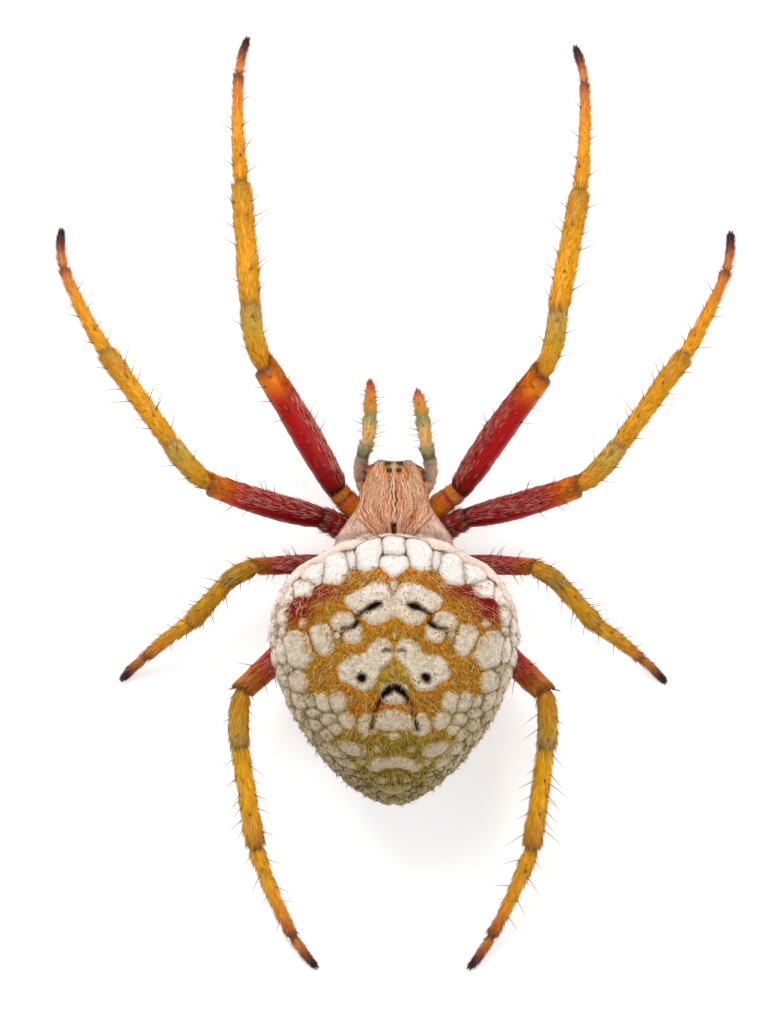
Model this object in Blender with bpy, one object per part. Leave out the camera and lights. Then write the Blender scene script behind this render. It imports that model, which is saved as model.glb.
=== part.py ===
"""Zealaranea trinotata, an orb-weaver spider, standing still on its eight feet.

Lengths are written in millimetres and turned into metres when a mesh is made.
The floor is z = 0, the head points along -Y, and the spider's left is +X.
A heading is an angle seen from above: 0 is straight ahead, 90 is straight out to the side.
"""

import math

import bmesh
import bpy
import numpy as np
from mathutils import Matrix, Vector

MM = 0.001

# Driving dimensions, in millimetres
CARAPACE_FRONT = -1.40
CARAPACE_LENGTH = 4.50
CARAPACE_WIDTH = 3.90
CARAPACE_RIM_HEIGHT = 2.75
CARAPACE_RISE = 1.30
CARAPACE_WAIST = 0.12
CARAPACE_SQUARENESS = 0.80
STERNUM_FRONT = 0.15
STERNUM_LENGTH = 2.25
STERNUM_WIDTH = 1.96
STERNUM_BOTTOM = 1.75
STERNUM_DEPTH = 0.60
ABDOMEN_FRONT = 0.97
ABDOMEN_LENGTH = 8.77
ABDOMEN_WIDTH = 8.08
ABDOMEN_BOTTOM = 2.00
ABDOMEN_DEPTH = 5.40
ABDOMEN_WAIST = 0.50
NODE_GAP = 0.28
SOCKET_GAP = 0.04
FOOT_HEIGHT = 0.07
THINNEST_RADIUS = 0.20
SPINE_ROOT_RADIUS = 0.10
SPINE_TIP_RADIUS = 0.03
SPINE_LEAN = 48.0
SPINE_ROOT_DEPTH = 0.45
LEG_SIDES = 10
SPINE_SIDES = 4

# One row for each station along a body: the part of its length, then its half width as a part of
# half the body's width, and its top and bottom as parts of the body's depth above its bottom
CARAPACE_STATIONS = (
    (0.00, 0.10, 0.18, 0.12),
    (0.02, 0.37, 0.45, 0.08),
    (0.06, 0.50, 0.66, 0.04),
    (0.14, 0.56, 0.84, 0.02),
    (0.30, 0.60, 0.97, 0.00),
    (0.42, 0.76, 0.98, 0.00),
    (0.60, 1.00, 0.88, 0.00),
    (0.78, 0.93, 0.70, 0.00),
    (0.92, 0.66, 0.44, 0.00),
    (1.00, 0.26, 0.22, 0.04),
)
STERNUM_STATIONS = (
    (0.00, 0.42, 0.85, 0.35),
    (0.10, 0.72, 0.97, 0.12),
    (0.35, 1.00, 1.00, 0.00),
    (0.70, 0.78, 1.00, 0.00),
    (0.92, 0.36, 0.97, 0.12),
    (1.00, 0.14, 0.80, 0.35),
)
ABDOMEN_STATIONS = (
    (0.000, 0.05, 0.610, 0.540),
    (0.030, 0.40, 0.710, 0.485),
    (0.070, 0.558, 0.780, 0.455),
    (0.122, 0.756, 0.840, 0.430),
    (0.185, 0.868, 0.895, 0.400),
    (0.285, 0.975, 0.955, 0.240),
    (0.360, 1.00, 0.985, 0.080),
    (0.460, 0.98, 1.000, 0.010),
    (0.580, 0.895, 0.985, 0.000),
    (0.690, 0.79, 0.925, 0.010),
    (0.800, 0.63, 0.815, 0.035),
    (0.880, 0.478, 0.695, 0.070),
    (0.950, 0.29, 0.550, 0.130),
    (0.985, 0.155, 0.440, 0.190),
    (1.000, 0.05, 0.340, 0.270),
)

# The leg's segments in order from the body, and the segments that each node holds
SEGMENTS = ("coxa", "femur", "patella", "tibia", "metatarsus", "tarsus")
LEG_NODES = (("femur", (0, 1)), ("tibia", (2, 3)), ("tarsus", (4, 5)))

# For each pair of legs: where the coxa starts and ends, seen from above; the length from above of
# each segment after the coxa; the height of every joint from the coxa's root to the foot; the
# radius of each segment at its thickest; how far each bows outwards, as a part of its length; and
# how long its spines are beside those of the first pair
LEG_PAIRS = {
    1: {
        "root": (1.20, 0.25),
        "hip": (1.98, -0.46),
        "spans": (4.57, 2.10, 4.00, 3.55, 1.21),
        "heights": (2.05, 2.30, 3.90, 3.80, 2.10, 0.65, FOOT_HEIGHT),
        "radii": (0.39, 0.48, 0.36, 0.34, 0.24, 0.15),
        "bows": (0.0, -0.012, 0.05, 0.0, 0.02, 0.04),
        "spine_scale": 1.0,
    },
    2: {
        "root": (1.32, 0.95),
        "hip": (2.35, 0.45),
        "spans": (3.77, 1.82, 3.67, 3.09, 1.25),
        "heights": (2.05, 2.30, 3.70, 3.60, 2.00, 0.60, FOOT_HEIGHT),
        "radii": (0.43, 0.44, 0.35, 0.32, 0.24, 0.15),
        "bows": (0.0, 0.02, 0.05, 0.0, 0.025, 0.04),
        "spine_scale": 1.0,
    },
    3: {
        "root": (1.30, 1.70),
        "hip": (2.20, 1.92),
        "spans": (2.23, 1.09, 1.77, 1.86, 1.08),
        "heights": (2.05, 2.20, 3.20, 3.10, 1.90, 0.65, FOOT_HEIGHT),
        "radii": (0.37, 0.33, 0.29, 0.28, 0.21, 0.14),
        "bows": (0.0, 0.0, 0.05, 0.0, 0.02, 0.03),
        "spine_scale": 0.75,
    },
    4: {
        "root": (1.05, 2.42),
        "hip": (1.75, 3.15),
        "spans": (4.27, 1.83, 3.31, 3.18, 1.25),
        "heights": (2.00, 2.00, 2.80, 2.80, 1.85, 0.62, FOOT_HEIGHT),
        "radii": (0.38, 0.45, 0.34, 0.31, 0.23, 0.15),
        "bows": (0.0, 0.0, 0.05, 0.0, 0.025, 0.03),
        "spine_scale": 0.9,
    },
}
# The heading of each segment after the coxa, in degrees
LEG_HEADINGS = {
    "left": {
        1: (30.5, 12.75, 4.5, 1.4, -14),
        2: (73.6, 43.2, 35.7, 27.1, 3.5),
        3: (92.6, 117.2, 138, 127, 133.5),
        4: (132.5, 176.5, 188.8, 202.5, 217),
    },
    "right": {
        1: (35.45, 14.5, 10.5, 2.5, -14),
        2: (74.4, 45, 36.2, 26.5, 7),
        3: (93, 120, 138.5, 127, 134),
        4: (133.1, 177.5, 188, 204.5, 214),
    },
}
# How much further out than its pair's place a leg's hip stands
HIP_SHIFTS = {
    "left": {1: -0.105},
    "right": {1: 0.160},
}
SIDES = {"left": 1, "right": -1}

# How thick a segment is along its length: parts of its length and of its thickest radius
SEGMENT_SHAPES = {
    "coxa": ((0.0, 0.72), (0.55, 0.98), (0.85, 1.0), (1.0, 0.92)),
    "femur": ((0.12, 0.84), (0.45, 1.0), (0.85, 0.94), (1.0, 0.84)),
    "patella": ((0.0, 0.86), (0.25, 1.0), (0.75, 1.0), (1.0, 0.90)),
    "tibia": ((0.14, 0.98), (0.50, 0.95), (0.88, 1.0), (1.0, 0.90)),
    "metatarsus": ((0.0, 0.96), (0.10, 1.0), (0.45, 0.86), (0.85, 0.74), (1.0, 0.72)),
    "tarsus": ((0.25, 1.05), (0.65, 1.0), (0.93, 0.86), (1.0, 0.60)),
}

# Where the spines stand on a segment: the angle round it from its top, in degrees and positive
# towards the front, and the parts of the segment's length
SPINE_ROWS = {
    "femur": {0: (0.42, 0.70, 0.93), 60: (0.58, 0.84), -60: (0.66, 0.88)},
    "patella": {10: (0.86,), 75: (0.55,), -75: (0.60,)},
    "tibia": {15: (0.30, 0.68), 70: (0.18, 0.50, 0.82), -70: (0.24, 0.56, 0.86), 130: (0.64,)},
    "metatarsus": {75: (0.10, 0.46), -75: (0.14, 0.52)},
}
SPINE_LENGTHS = {"femur": 0.75, "patella": 0.80, "tibia": 1.05, "metatarsus": 0.85}
CLAW_LENGTH = 0.20
CLAW_SPREAD = 0.04

# The palps, front legs and eyes of the head, in millimetres from the origin
PALPS = {
    "left": ((0.86, -0.30), (1.09, -0.78), (1.02, -1.56), (0.84, -2.08), (0.77, -2.86), (0.77, -4.02)),
    "right": ((0.88, -0.30), (1.18, -0.76), (1.14, -1.52), (1.05, -1.97), (0.93, -2.81), (0.75, -3.70)),
}
PALP_HEIGHTS = (1.98, 2.15, 2.85, 2.90, 2.60, 1.75)
PALP_RADII = (0.21, 0.21, 0.23, 0.22, 0.20, 0.16)
# Mouthparts, pedicel and scape, as rows of x, y, z and radius along each
MAXILLA_PATH = ((0.40, -0.12, 1.90, 0.22), (0.40, -0.30, 1.90, 0.27), (0.40, -0.52, 1.90, 0.25),
                (0.40, -0.62, 1.90, 0.12))
JAW_PATH = ((0.38, -0.98, 2.64, 0.28), (0.42, -1.10, 2.30, 0.36), (0.42, -1.18, 1.90, 0.36),
            (0.38, -1.20, 1.50, 0.28), (0.33, -1.18, 1.30, 0.17))
FANG_PATH = ((0.33, -1.16, 1.17, 0.14), (0.29, -1.12, 1.06, 0.12), (0.20, -1.00, 0.98, 0.08),
             (0.12, -0.86, 1.00, 0.03))
PEDICEL_PATH = ((0.0, 3.36, 2.78, 0.36), (0.0, 3.48, 2.80, 0.33), (0.0, 3.66, 2.84, 0.35))
SCAPE_PATH = ((0.0, 4.60, 2.45, 0.34), (0.0, 4.63, 2.05, 0.32), (0.0, 4.75, 1.86, 0.22),
              (0.0, 5.00, 1.78, 0.12))
# The spinnerets: where their base stands, and each one's direction seen from above and its length
SPINNERET_ROOT = (0.0, 8.50, 2.12)
SPINNERET_TURNS = ((40, 0.62), (140, 0.55), (220, 0.55), (320, 0.62))
# Each eye's radius and its place seen from above on the left half of the head
EYES = {
    "front_middle": (0.105, 0.20, -1.30),
    "rear_middle": (0.095, 0.155, -1.08),
    "front_side": (0.085, 0.93, -1.02),
    "rear_side": (0.080, 0.97, -0.80),
}

# Colours, with a roughness for each
COLOURS = {
    "carapace": ((0.62, 0.30, 0.14), 0.55),
    "sternum": ((0.12, 0.05, 0.03), 0.45),
    "abdomen": ((0.72, 0.66, 0.55), 0.60),
    "pedicel": ((0.35, 0.15, 0.08), 0.50),
    "spinnerets": ((0.16, 0.08, 0.04), 0.50),
    "chelicera": ((0.42, 0.16, 0.06), 0.35),
    "fang": ((0.06, 0.015, 0.01), 0.20),
    "maxilla": ((0.40, 0.20, 0.08), 0.45),
    "palp": ((0.52, 0.38, 0.10), 0.45),
    "eye": ((0.01, 0.008, 0.01), 0.08),
    "femur": ((0.40, 0.02, 0.01), 0.35),
    "tibia": ((0.72, 0.40, 0.03), 0.35),
    "tarsus": ((0.55, 0.24, 0.03), 0.35),
}


def clear_scene():
    """Remove every object that the file opened with."""
    for item in list(bpy.data.objects):
        bpy.data.objects.remove(item, do_unlink=True)


def make_material(name):
    """One Principled material with the part's colour and roughness."""
    colour, roughness = COLOURS[name]
    material = bpy.data.materials.get(name) or bpy.data.materials.new(name)
    material.use_nodes = True
    shader = material.node_tree.nodes["Principled BSDF"]
    shader.inputs["Base Color"].default_value = (*colour, 1.0)
    shader.inputs["Roughness"].default_value = roughness
    shader.inputs["Metallic"].default_value = 0.0
    return material


def make_object(name, bm, origin, look):
    """Turn a bmesh in millimetres into an object in metres that stands at its origin."""
    bmesh.ops.recalc_face_normals(bm, faces=bm.faces)
    bm.transform(Matrix.Scale(MM, 4) @ Matrix.Translation(-Vector(origin)))
    mesh = bpy.data.meshes.new(name)
    bm.to_mesh(mesh)
    bm.free()
    mesh.shade_smooth()
    mesh.set_sharp_from_angle(angle=math.radians(50))
    mesh.materials.append(make_material(look))
    item = bpy.data.objects.new(name, mesh)
    item.location = Vector(origin) * MM
    bpy.context.scene.collection.objects.link(item)
    return item


def keep_largest_surface(mesh):
    """Drop every closed surface of the mesh but the one with the most volume."""
    bm = bmesh.new()
    bm.from_mesh(mesh)
    waiting = set(bm.faces)
    islands = []
    while waiting:
        front = [waiting.pop()]
        island = list(front)
        while front:
            face = front.pop()
            for edge in face.edges:
                for other in edge.link_faces:
                    if other in waiting:
                        waiting.remove(other)
                        front.append(other)
                        island.append(other)
        volume = sum(face.calc_area() * face.normal.dot(face.calc_center_median()) for face in island)
        islands.append((volume, island))
    islands.sort(key=lambda entry: entry[0])
    scraps = [face for _, island in islands[:-1] for face in island]
    bmesh.ops.delete(bm, geom=scraps, context="FACES")
    loose = [vert for vert in bm.verts if not vert.link_faces]
    bmesh.ops.delete(bm, geom=loose, context="VERTS")
    bm.to_mesh(mesh)
    bm.free()


def combine(base, pieces, operation):
    """Join the pieces to the base, or cut them from it, in one Boolean that is then applied."""
    group = bpy.data.collections.new(base.name + "_pieces")
    bpy.context.scene.collection.children.link(group)
    for piece in pieces:
        bpy.context.scene.collection.objects.unlink(piece)
        group.objects.link(piece)
    modifier = base.modifiers.new("combine", "BOOLEAN")
    modifier.operation = operation
    modifier.operand_type = "COLLECTION"
    modifier.collection = group
    modifier.solver = "MANIFOLD"
    evaluated = base.evaluated_get(bpy.context.evaluated_depsgraph_get())
    result = bpy.data.meshes.new_from_object(evaluated)
    keep_largest_surface(result)
    base.modifiers.remove(modifier)
    old_mesh = base.data
    base.data = result
    result.name = old_mesh.name
    bpy.data.meshes.remove(old_mesh)
    for piece in pieces:
        bpy.data.objects.remove(piece, do_unlink=True)
    bpy.data.collections.remove(group)


def smooth_rows(rows, place):
    """Every column of the rows at a place, by a cubic curve through them that never overshoots."""
    table = np.array(rows, dtype=float)
    places = table[:, 0]
    values = table[:, 1:]
    steps = np.diff(places)[:, None]
    slopes = np.diff(values, axis=0) / steps
    agree = slopes[:-1] * slopes[1:] > 0
    total = np.where(agree, slopes[:-1] + slopes[1:], 1.0)
    inner = np.where(agree, 2 * slopes[:-1] * slopes[1:] / total, 0.0)
    tangents = np.vstack([slopes[:1], inner, slopes[-1:]])
    row = int(np.clip(np.searchsorted(places, place) - 1, 0, len(steps) - 1))
    width = steps[row]
    t = (place - places[row]) / width
    start = (2 * t**3 - 3 * t**2 + 1) * values[row] + (t**3 - 2 * t**2 + t) * width * tangents[row]
    end = (3 * t**2 - 2 * t**3) * values[row + 1] + (t**3 - t**2) * width * tangents[row + 1]
    return start + end


def bridge_rings(bm, rings):
    """Skin a list of closed rings of points, with a flat face on each end."""
    loops = [[bm.verts.new(point) for point in ring] for ring in rings]
    count = len(loops[0])
    for lower, upper in zip(loops, loops[1:]):
        for step in range(count):
            after = (step + 1) % count
            bm.faces.new((lower[step], lower[after], upper[after], upper[step]))
    bm.faces.new(loops[0][::-1])
    bm.faces.new(loops[-1])


def ring_spacing(count):
    """Places from 0 to 1 that lie closer together near both ends."""
    return [(1 - math.cos(math.pi * step / (count - 1))) / 2 for step in range(count)]


def lofted_body(front, length, width, bottom, depth, stations, waist, squareness, rings, sides):
    """Rings square to the body's axis, each an ellipse that is widest at its waist.

    The waist is the part of the way from the bottom to the top. A squareness under 1 fills the
    ellipse out sideways, as a power of the cosine.
    """
    bm = bmesh.new()
    outline = []
    for place in ring_spacing(rings):
        half, top, base = smooth_rows(stations, place)
        half *= width / 2
        top = bottom + top * depth
        base = bottom + base * depth
        middle = base + (top - base) * waist
        ring = []
        for step in range(sides):
            angle = 2 * math.pi * step / sides
            across = math.copysign(abs(math.cos(angle)) ** squareness, math.cos(angle))
            rise = math.sin(angle)
            reach = (top - middle) if rise > 0 else (middle - base)
            ring.append(Vector((half * across, front + place * length, middle + reach * rise)))
        outline.append(ring)
    bridge_rings(bm, outline)
    return bm


def tube_rings(centres, radii, sides, ends=None, up=Vector((0, 0, 1))):
    """Round rings square to a path, with the directions of its two end faces when given."""
    last = len(centres) - 1
    rings = []
    for index, (centre, radius) in enumerate(zip(centres, radii)):
        along = centres[min(index + 1, last)] - centres[max(index - 1, 0)]
        if ends and index in (0, last):
            along = ends[0] if index == 0 else ends[1]
        along = along.normalized()
        side = along.cross(up).normalized()
        over = side.cross(along)
        angles = [2 * math.pi * (step + 0.5) / sides for step in range(sides)]
        rings.append([centre + radius * (side * math.sin(a) + over * math.cos(a)) for a in angles])
    return rings


def tapered_tube(name, centres, radii, look, sides=LEG_SIDES, ends=None, up=Vector((0, 0, 1))):
    """A closed tube as an object whose origin is the start of its path."""
    bm = bmesh.new()
    bridge_rings(bm, tube_rings(centres, radii, sides, ends, up))
    return make_object(name, bm, centres[0], look)


def cone_piece(root, direction, length, root_radius, tip_radius, look):
    """A thin tapering piece that starts at a point inside the node that it will join."""
    tip = root + direction * length
    up = Vector((0, 0, 1)) if abs(direction.z) < 0.9 else Vector((0, 1, 0))
    return tapered_tube("piece", [root, tip], [root_radius, tip_radius], look, SPINE_SIDES, up=up)


def leg_joints(pair, side):
    """The joints of a leg from its root to its foot."""
    shape = LEG_PAIRS[pair]
    mirror = SIDES[side]
    shift = Vector((HIP_SHIFTS[side].get(pair, 0.0), 0.0))
    places = [Vector(shape["root"]), Vector(shape["hip"]) + shift]
    for span, heading in zip(shape["spans"], LEG_HEADINGS[side][pair]):
        turn = math.radians(heading)
        places.append(places[-1] + span * Vector((math.sin(turn), -math.cos(turn))))
    return [Vector((mirror * place.x, place.y, height))
            for place, height in zip(places, shape["heights"])]


def bowed_point(start, end, place, bow, mirror):
    """A point between two joints, pushed out sideways where the segment bows."""
    along = end - start
    outward = Vector((-along.y, along.x, 0)) * mirror
    if outward.x * mirror < 0:
        outward.negate()
    return start + along * place + outward * (bow * 4 * place * (1 - place))


def segment_stations(joints, shape, index, mirror):
    """The centres and radii along one segment of a leg."""
    radius = max(shape["radii"][index], THINNEST_RADIUS)
    centres = []
    sizes = []
    for place, part in SEGMENT_SHAPES[SEGMENTS[index]]:
        centres.append(bowed_point(joints[index], joints[index + 1], place, shape["bows"][index], mirror))
        sizes.append(radius * part)
    return centres, sizes


def joint_direction(joints, index):
    """The direction in which a leg passes one of its joints, halfway between its neighbours'."""
    before = joints[index] - joints[max(index - 1, 0)]
    after = joints[min(index + 1, len(joints) - 1)] - joints[index]
    return (before.normalized() + after.normalized()).normalized()


def leg_spines(joints, shape, index, mirror, look):
    """The spines of one segment: thin cones that lean towards the foot."""
    name = SEGMENTS[index]
    if name not in SPINE_ROWS:
        return []
    start, end = joints[index], joints[index + 1]
    along = (end - start).normalized()
    over = Vector((0, 0, 1))
    over = (over - along * over.dot(along)).normalized()
    front = along.cross(over) * -mirror
    lean = math.radians(SPINE_LEAN)
    radius = shape["radii"][index]
    length = SPINE_LENGTHS[name] * shape["spine_scale"]
    pieces = []
    for angle, places in SPINE_ROWS[name].items():
        turn = math.radians(angle)
        outward = over * math.cos(turn) + front * math.sin(turn)
        for place in places:
            centre = bowed_point(start, end, place, shape["bows"][index], mirror)
            root = centre + outward * radius * SPINE_ROOT_DEPTH
            direction = outward * math.sin(lean) + along * math.cos(lean)
            hidden = radius * (1 - SPINE_ROOT_DEPTH) / math.sin(lean)
            pieces.append(cone_piece(root, direction, length + hidden,
                                     SPINE_ROOT_RADIUS, SPINE_TIP_RADIUS, look))
    return pieces


def foot_claws(joints, look):
    """The two claws at the end of a tarsus, side by side and bent down to the floor."""
    along = (joints[-1] - joints[-2]).normalized()
    flat = Vector((along.x, along.y, 0)).normalized()
    side = Vector((-flat.y, flat.x, 0))
    root = joints[-1] - flat * 0.08 + Vector((0, 0, 0.03))
    return [cone_piece(root + side * turn * CLAW_SPREAD, (flat + side * turn * 0.35).normalized(),
                       CLAW_LENGTH, 0.07, 0.03, look) for turn in (-1, 1)]


def stand_on_floor(item):
    """Flatten whatever of a node would reach below the floor, which makes the foot's flat."""
    lift = item.location.z
    for vert in item.data.vertices:
        vert.co.z = max(vert.co.z, -lift)


def build_leg(pair, side):
    """One leg in three nodes, parted at the knee and above the metatarsus."""
    mirror = SIDES[side]
    joints = leg_joints(pair, side)
    shape = LEG_PAIRS[pair]
    for look, (first, second) in LEG_NODES:
        centres, sizes = segment_stations(joints, shape, first, mirror)
        more_centres, more_sizes = segment_stations(joints, shape, second, mirror)
        centres += more_centres
        sizes += more_sizes
        ends = (joint_direction(joints, first), joint_direction(joints, second + 1))
        if first > 0:
            centres[0] = joints[first] + ends[0] * NODE_GAP / 2
        if second + 1 < len(joints) - 1:
            centres[-1] = joints[second + 1] - ends[1] * NODE_GAP / 2
        node = tapered_tube(f"leg_{pair}_{side}_{look}", centres, sizes, look, ends=ends)
        pieces = []
        for index in (first, second):
            pieces += leg_spines(joints, shape, index, mirror, look)
        if look == "tarsus":
            pieces += foot_claws(joints, look)
        combine(node, pieces, "UNION")
        stand_on_floor(node)


def build_palp(side):
    """One palp: a short front leg beside the jaws that doesn't reach the floor."""
    mirror = SIDES[side]
    centres = [Vector((mirror * x, y, z)) for (x, y), z in zip(PALPS[side], PALP_HEIGHTS)]
    smooth_centres = []
    smooth_sizes = []
    for index in range(len(centres) - 1):
        for place in (0.0, 0.5):
            smooth_centres.append(centres[index].lerp(centres[index + 1], place))
            swell = 1.0 if place else 0.92
            smooth_sizes.append(swell * (PALP_RADII[index] * (1 - place) + PALP_RADII[index + 1] * place))
    smooth_centres.append(centres[-1])
    smooth_sizes.append(PALP_RADII[-1] * 0.5)
    tapered_tube(f"palp_{side}", smooth_centres, smooth_sizes, "palp")


def head_height(x, y):
    """The height of the carapace above a point of the head, from its own stations."""
    place = (y - CARAPACE_FRONT) / CARAPACE_LENGTH
    half, top, base = smooth_rows(CARAPACE_STATIONS, place)
    half *= CARAPACE_WIDTH / 2
    top = CARAPACE_RIM_HEIGHT + top * CARAPACE_RISE
    base = CARAPACE_RIM_HEIGHT + base * CARAPACE_RISE
    middle = base + (top - base) * CARAPACE_WAIST
    across = min(abs(x) / half, 0.999) ** (1 / CARAPACE_SQUARENESS)
    return middle + (top - middle) * math.sqrt(1 - across**2)


def build_carapace():
    """The shield over the head and thorax, with a socket for each eye."""
    bm = lofted_body(CARAPACE_FRONT, CARAPACE_LENGTH, CARAPACE_WIDTH, CARAPACE_RIM_HEIGHT, CARAPACE_RISE,
                     CARAPACE_STATIONS, CARAPACE_WAIST, CARAPACE_SQUARENESS, 22, 28)
    carapace = make_object("carapace", bm, (0, 0, CARAPACE_RIM_HEIGHT), "carapace")
    cutters = []
    for name, (radius, x, y) in EYES.items():
        for side, mirror in SIDES.items():
            centre = Vector((mirror * x, y, head_height(x, y) - radius * 0.35))
            for label, size in ((f"eye_{name}_{side}", radius), ("socket", radius + SOCKET_GAP)):
                ball = bmesh.new()
                bmesh.ops.create_icosphere(ball, subdivisions=2, radius=size,
                                           matrix=Matrix.Translation(centre))
                item = make_object(label, ball, centre, "eye")
                if label == "socket":
                    cutters.append(item)
    combine(carapace, cutters, "DIFFERENCE")


def build_sternum():
    """The shield between the coxae on the underside."""
    bm = lofted_body(STERNUM_FRONT, STERNUM_LENGTH, STERNUM_WIDTH, STERNUM_BOTTOM, STERNUM_DEPTH,
                     STERNUM_STATIONS, 0.6, 0.6, 12, 20)
    make_object("sternum", bm, (0, STERNUM_FRONT, STERNUM_BOTTOM), "sternum")


def path_tube(name, path, look, mirror=1, **shape):
    """A tube along rows of x, y, z and radius, mirrored for the right side."""
    centres = [Vector((mirror * x, y, z)) for x, y, z, _ in path]
    return tapered_tube(name, centres, [row[3] for row in path], look, **shape)


def build_mouthparts():
    """The maxillae, the two chelicerae and their folded fangs."""
    ahead = Vector((0, 1, 0))
    for side, mirror in SIDES.items():
        path_tube(f"maxilla_{side}", MAXILLA_PATH, "maxilla", mirror)
        path_tube(f"chelicera_{side}", JAW_PATH, "chelicera", mirror, up=ahead)
        path_tube(f"fang_{side}", FANG_PATH, "fang", mirror, sides=8, up=ahead)


def build_pedicel():
    """The narrow waist between the carapace and the abdomen."""
    path_tube("pedicel", PEDICEL_PATH, "pedicel", ends=(Vector((0, 1, 0)), Vector((0, 0.86, 0.5))))


def build_abdomen():
    """The broad, deep abdomen, whose front overhangs the carapace."""
    bm = lofted_body(ABDOMEN_FRONT, ABDOMEN_LENGTH, ABDOMEN_WIDTH, ABDOMEN_BOTTOM, ABDOMEN_DEPTH,
                     ABDOMEN_STATIONS, ABDOMEN_WAIST, 1.0, 30, 36)
    centre = (0, ABDOMEN_FRONT + ABDOMEN_LENGTH / 2, ABDOMEN_BOTTOM + ABDOMEN_DEPTH / 2)
    abdomen = make_object("abdomen", bm, centre, "abdomen")
    flap = path_tube("piece", SCAPE_PATH, "abdomen", sides=8, up=Vector((0, 1, 0)))
    combine(abdomen, [flap], "UNION")


def build_spinnerets():
    """The cluster of spinnerets under the rear end of the abdomen."""
    root = Vector(SPINNERET_ROOT)
    base = tapered_tube("spinnerets", [root, root + Vector((0, -0.04, -0.22))], (0.52, 0.46),
                        "spinnerets", sides=12, up=Vector((0, 1, 0)))
    pieces = []
    for turn, length in SPINNERET_TURNS:
        spread = Vector((math.cos(math.radians(turn)), math.sin(math.radians(turn)), 0))
        start = root + spread * 0.22 + Vector((0, 0.03, -0.08))
        centres = [start, start + Vector((0, 0.08, -length * 0.6)) + spread * 0.03,
                   start + Vector((0, 0.14, -length)) - spread * 0.05]
        pieces.append(tapered_tube("piece", centres, (0.19, 0.16, 0.08), "spinnerets", sides=8,
                                   up=Vector((0, 1, 0))))
    combine(base, pieces, "UNION")


def main():
    clear_scene()
    build_carapace()
    build_sternum()
    build_mouthparts()
    build_pedicel()
    build_abdomen()
    build_spinnerets()
    for side in SIDES:
        build_palp(side)
        for pair in LEG_PAIRS:
            build_leg(pair, side)


main()
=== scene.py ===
"""Zealaranea trinotata, an orb-weaver spider: skins, coat, spines, claws and eyes over its solids.

Lengths are written in millimetres and turned into metres when a mesh is made.
The floor is z = 0, the head points along -Y, and the spider's left is +X.
A heading is an angle seen from above: 0 is straight ahead, 90 is straight out to the side.
"""

import itertools
import math
from types import SimpleNamespace

import bpy
import numpy as np
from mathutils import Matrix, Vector


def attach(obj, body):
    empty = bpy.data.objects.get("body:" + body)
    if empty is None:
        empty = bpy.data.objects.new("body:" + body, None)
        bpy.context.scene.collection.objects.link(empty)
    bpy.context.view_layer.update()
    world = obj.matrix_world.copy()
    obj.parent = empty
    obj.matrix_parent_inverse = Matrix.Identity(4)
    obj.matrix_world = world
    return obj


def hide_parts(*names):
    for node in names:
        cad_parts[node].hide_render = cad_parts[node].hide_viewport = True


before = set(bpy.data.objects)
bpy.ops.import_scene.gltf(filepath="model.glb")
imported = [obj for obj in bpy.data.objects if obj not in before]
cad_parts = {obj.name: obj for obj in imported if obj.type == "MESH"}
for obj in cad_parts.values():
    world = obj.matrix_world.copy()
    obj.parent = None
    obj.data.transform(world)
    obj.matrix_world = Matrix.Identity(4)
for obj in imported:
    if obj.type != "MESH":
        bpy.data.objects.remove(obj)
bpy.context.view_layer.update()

bl_info = {
    "name": "Orb-weaver spider",
    "version": (1, 0, 0),
    "blender": (4, 5, 0),
    "location": "3D View > Sidebar > Spider",
    "description": "Skins, coat, spines and eyes of an orb-weaver spider over its solids",
    "category": "Object",
}

MM = 0.001
SIDES = {"left": 1, "right": -1}
UP = (0.0, 0.0, 1.0)
AHEAD = (0.0, 1.0, 0.0)
# The fields on a mesh that aren't colours: each one's kind and what holds its values
FIELD_KINDS = {"edge": ("FLOAT", "value"), "mark": ("FLOAT", "value"), "mottled": ("FLOAT", "value"),
               "lie": ("FLOAT_VECTOR", "vector")}
# How near to the floor a point of a skin or a strand may come, in millimetres
LOWEST = 0.004
# The size of a strand's patch on the OFBake map, and the map's empty margin
BAKE_PATCH = 0.003
BAKE_MARGIN = 0.004

# Bodies, in millimetres, as in the part's source. Each station along a body is a row: the part of
# its length, then its half width as a part of half the body's width, and its top and bottom as
# parts of the body's depth above its bottom
CARAPACE = {
    "front": -1.40, "length": 4.50, "width": 3.90, "bottom": 2.75, "depth": 1.30,
    "waist": 0.12, "squareness": 0.80,
    "stations": (
        (0.00, 0.10, 0.18, 0.12), (0.02, 0.37, 0.45, 0.08), (0.06, 0.50, 0.66, 0.04),
        (0.14, 0.56, 0.84, 0.02), (0.30, 0.60, 0.97, 0.00), (0.42, 0.76, 0.98, 0.00),
        (0.60, 1.00, 0.88, 0.00), (0.78, 0.93, 0.70, 0.00), (0.92, 0.66, 0.44, 0.00),
        (1.00, 0.26, 0.22, 0.04),
    ),
}
STERNUM = {
    "front": 0.15, "length": 2.25, "width": 1.96, "bottom": 1.75, "depth": 0.60,
    "waist": 0.60, "squareness": 0.60,
    "stations": (
        (0.00, 0.42, 0.85, 0.35), (0.10, 0.72, 0.97, 0.12), (0.35, 1.00, 1.00, 0.00),
        (0.70, 0.78, 1.00, 0.00), (0.92, 0.36, 0.97, 0.12), (1.00, 0.14, 0.80, 0.35),
    ),
}
PLEURA = {
    "front": -0.75, "length": 3.95, "width": 2.90, "bottom": 1.92, "depth": 1.02,
    "waist": 0.60, "squareness": 0.80,
    "stations": (
        (0.00, 0.25, 0.75, 0.40), (0.10, 0.62, 0.92, 0.12), (0.30, 0.92, 1.00, 0.00),
        (0.60, 1.00, 1.00, 0.00), (0.85, 0.70, 0.95, 0.12), (1.00, 0.22, 0.85, 0.40),
    ),
}
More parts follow.
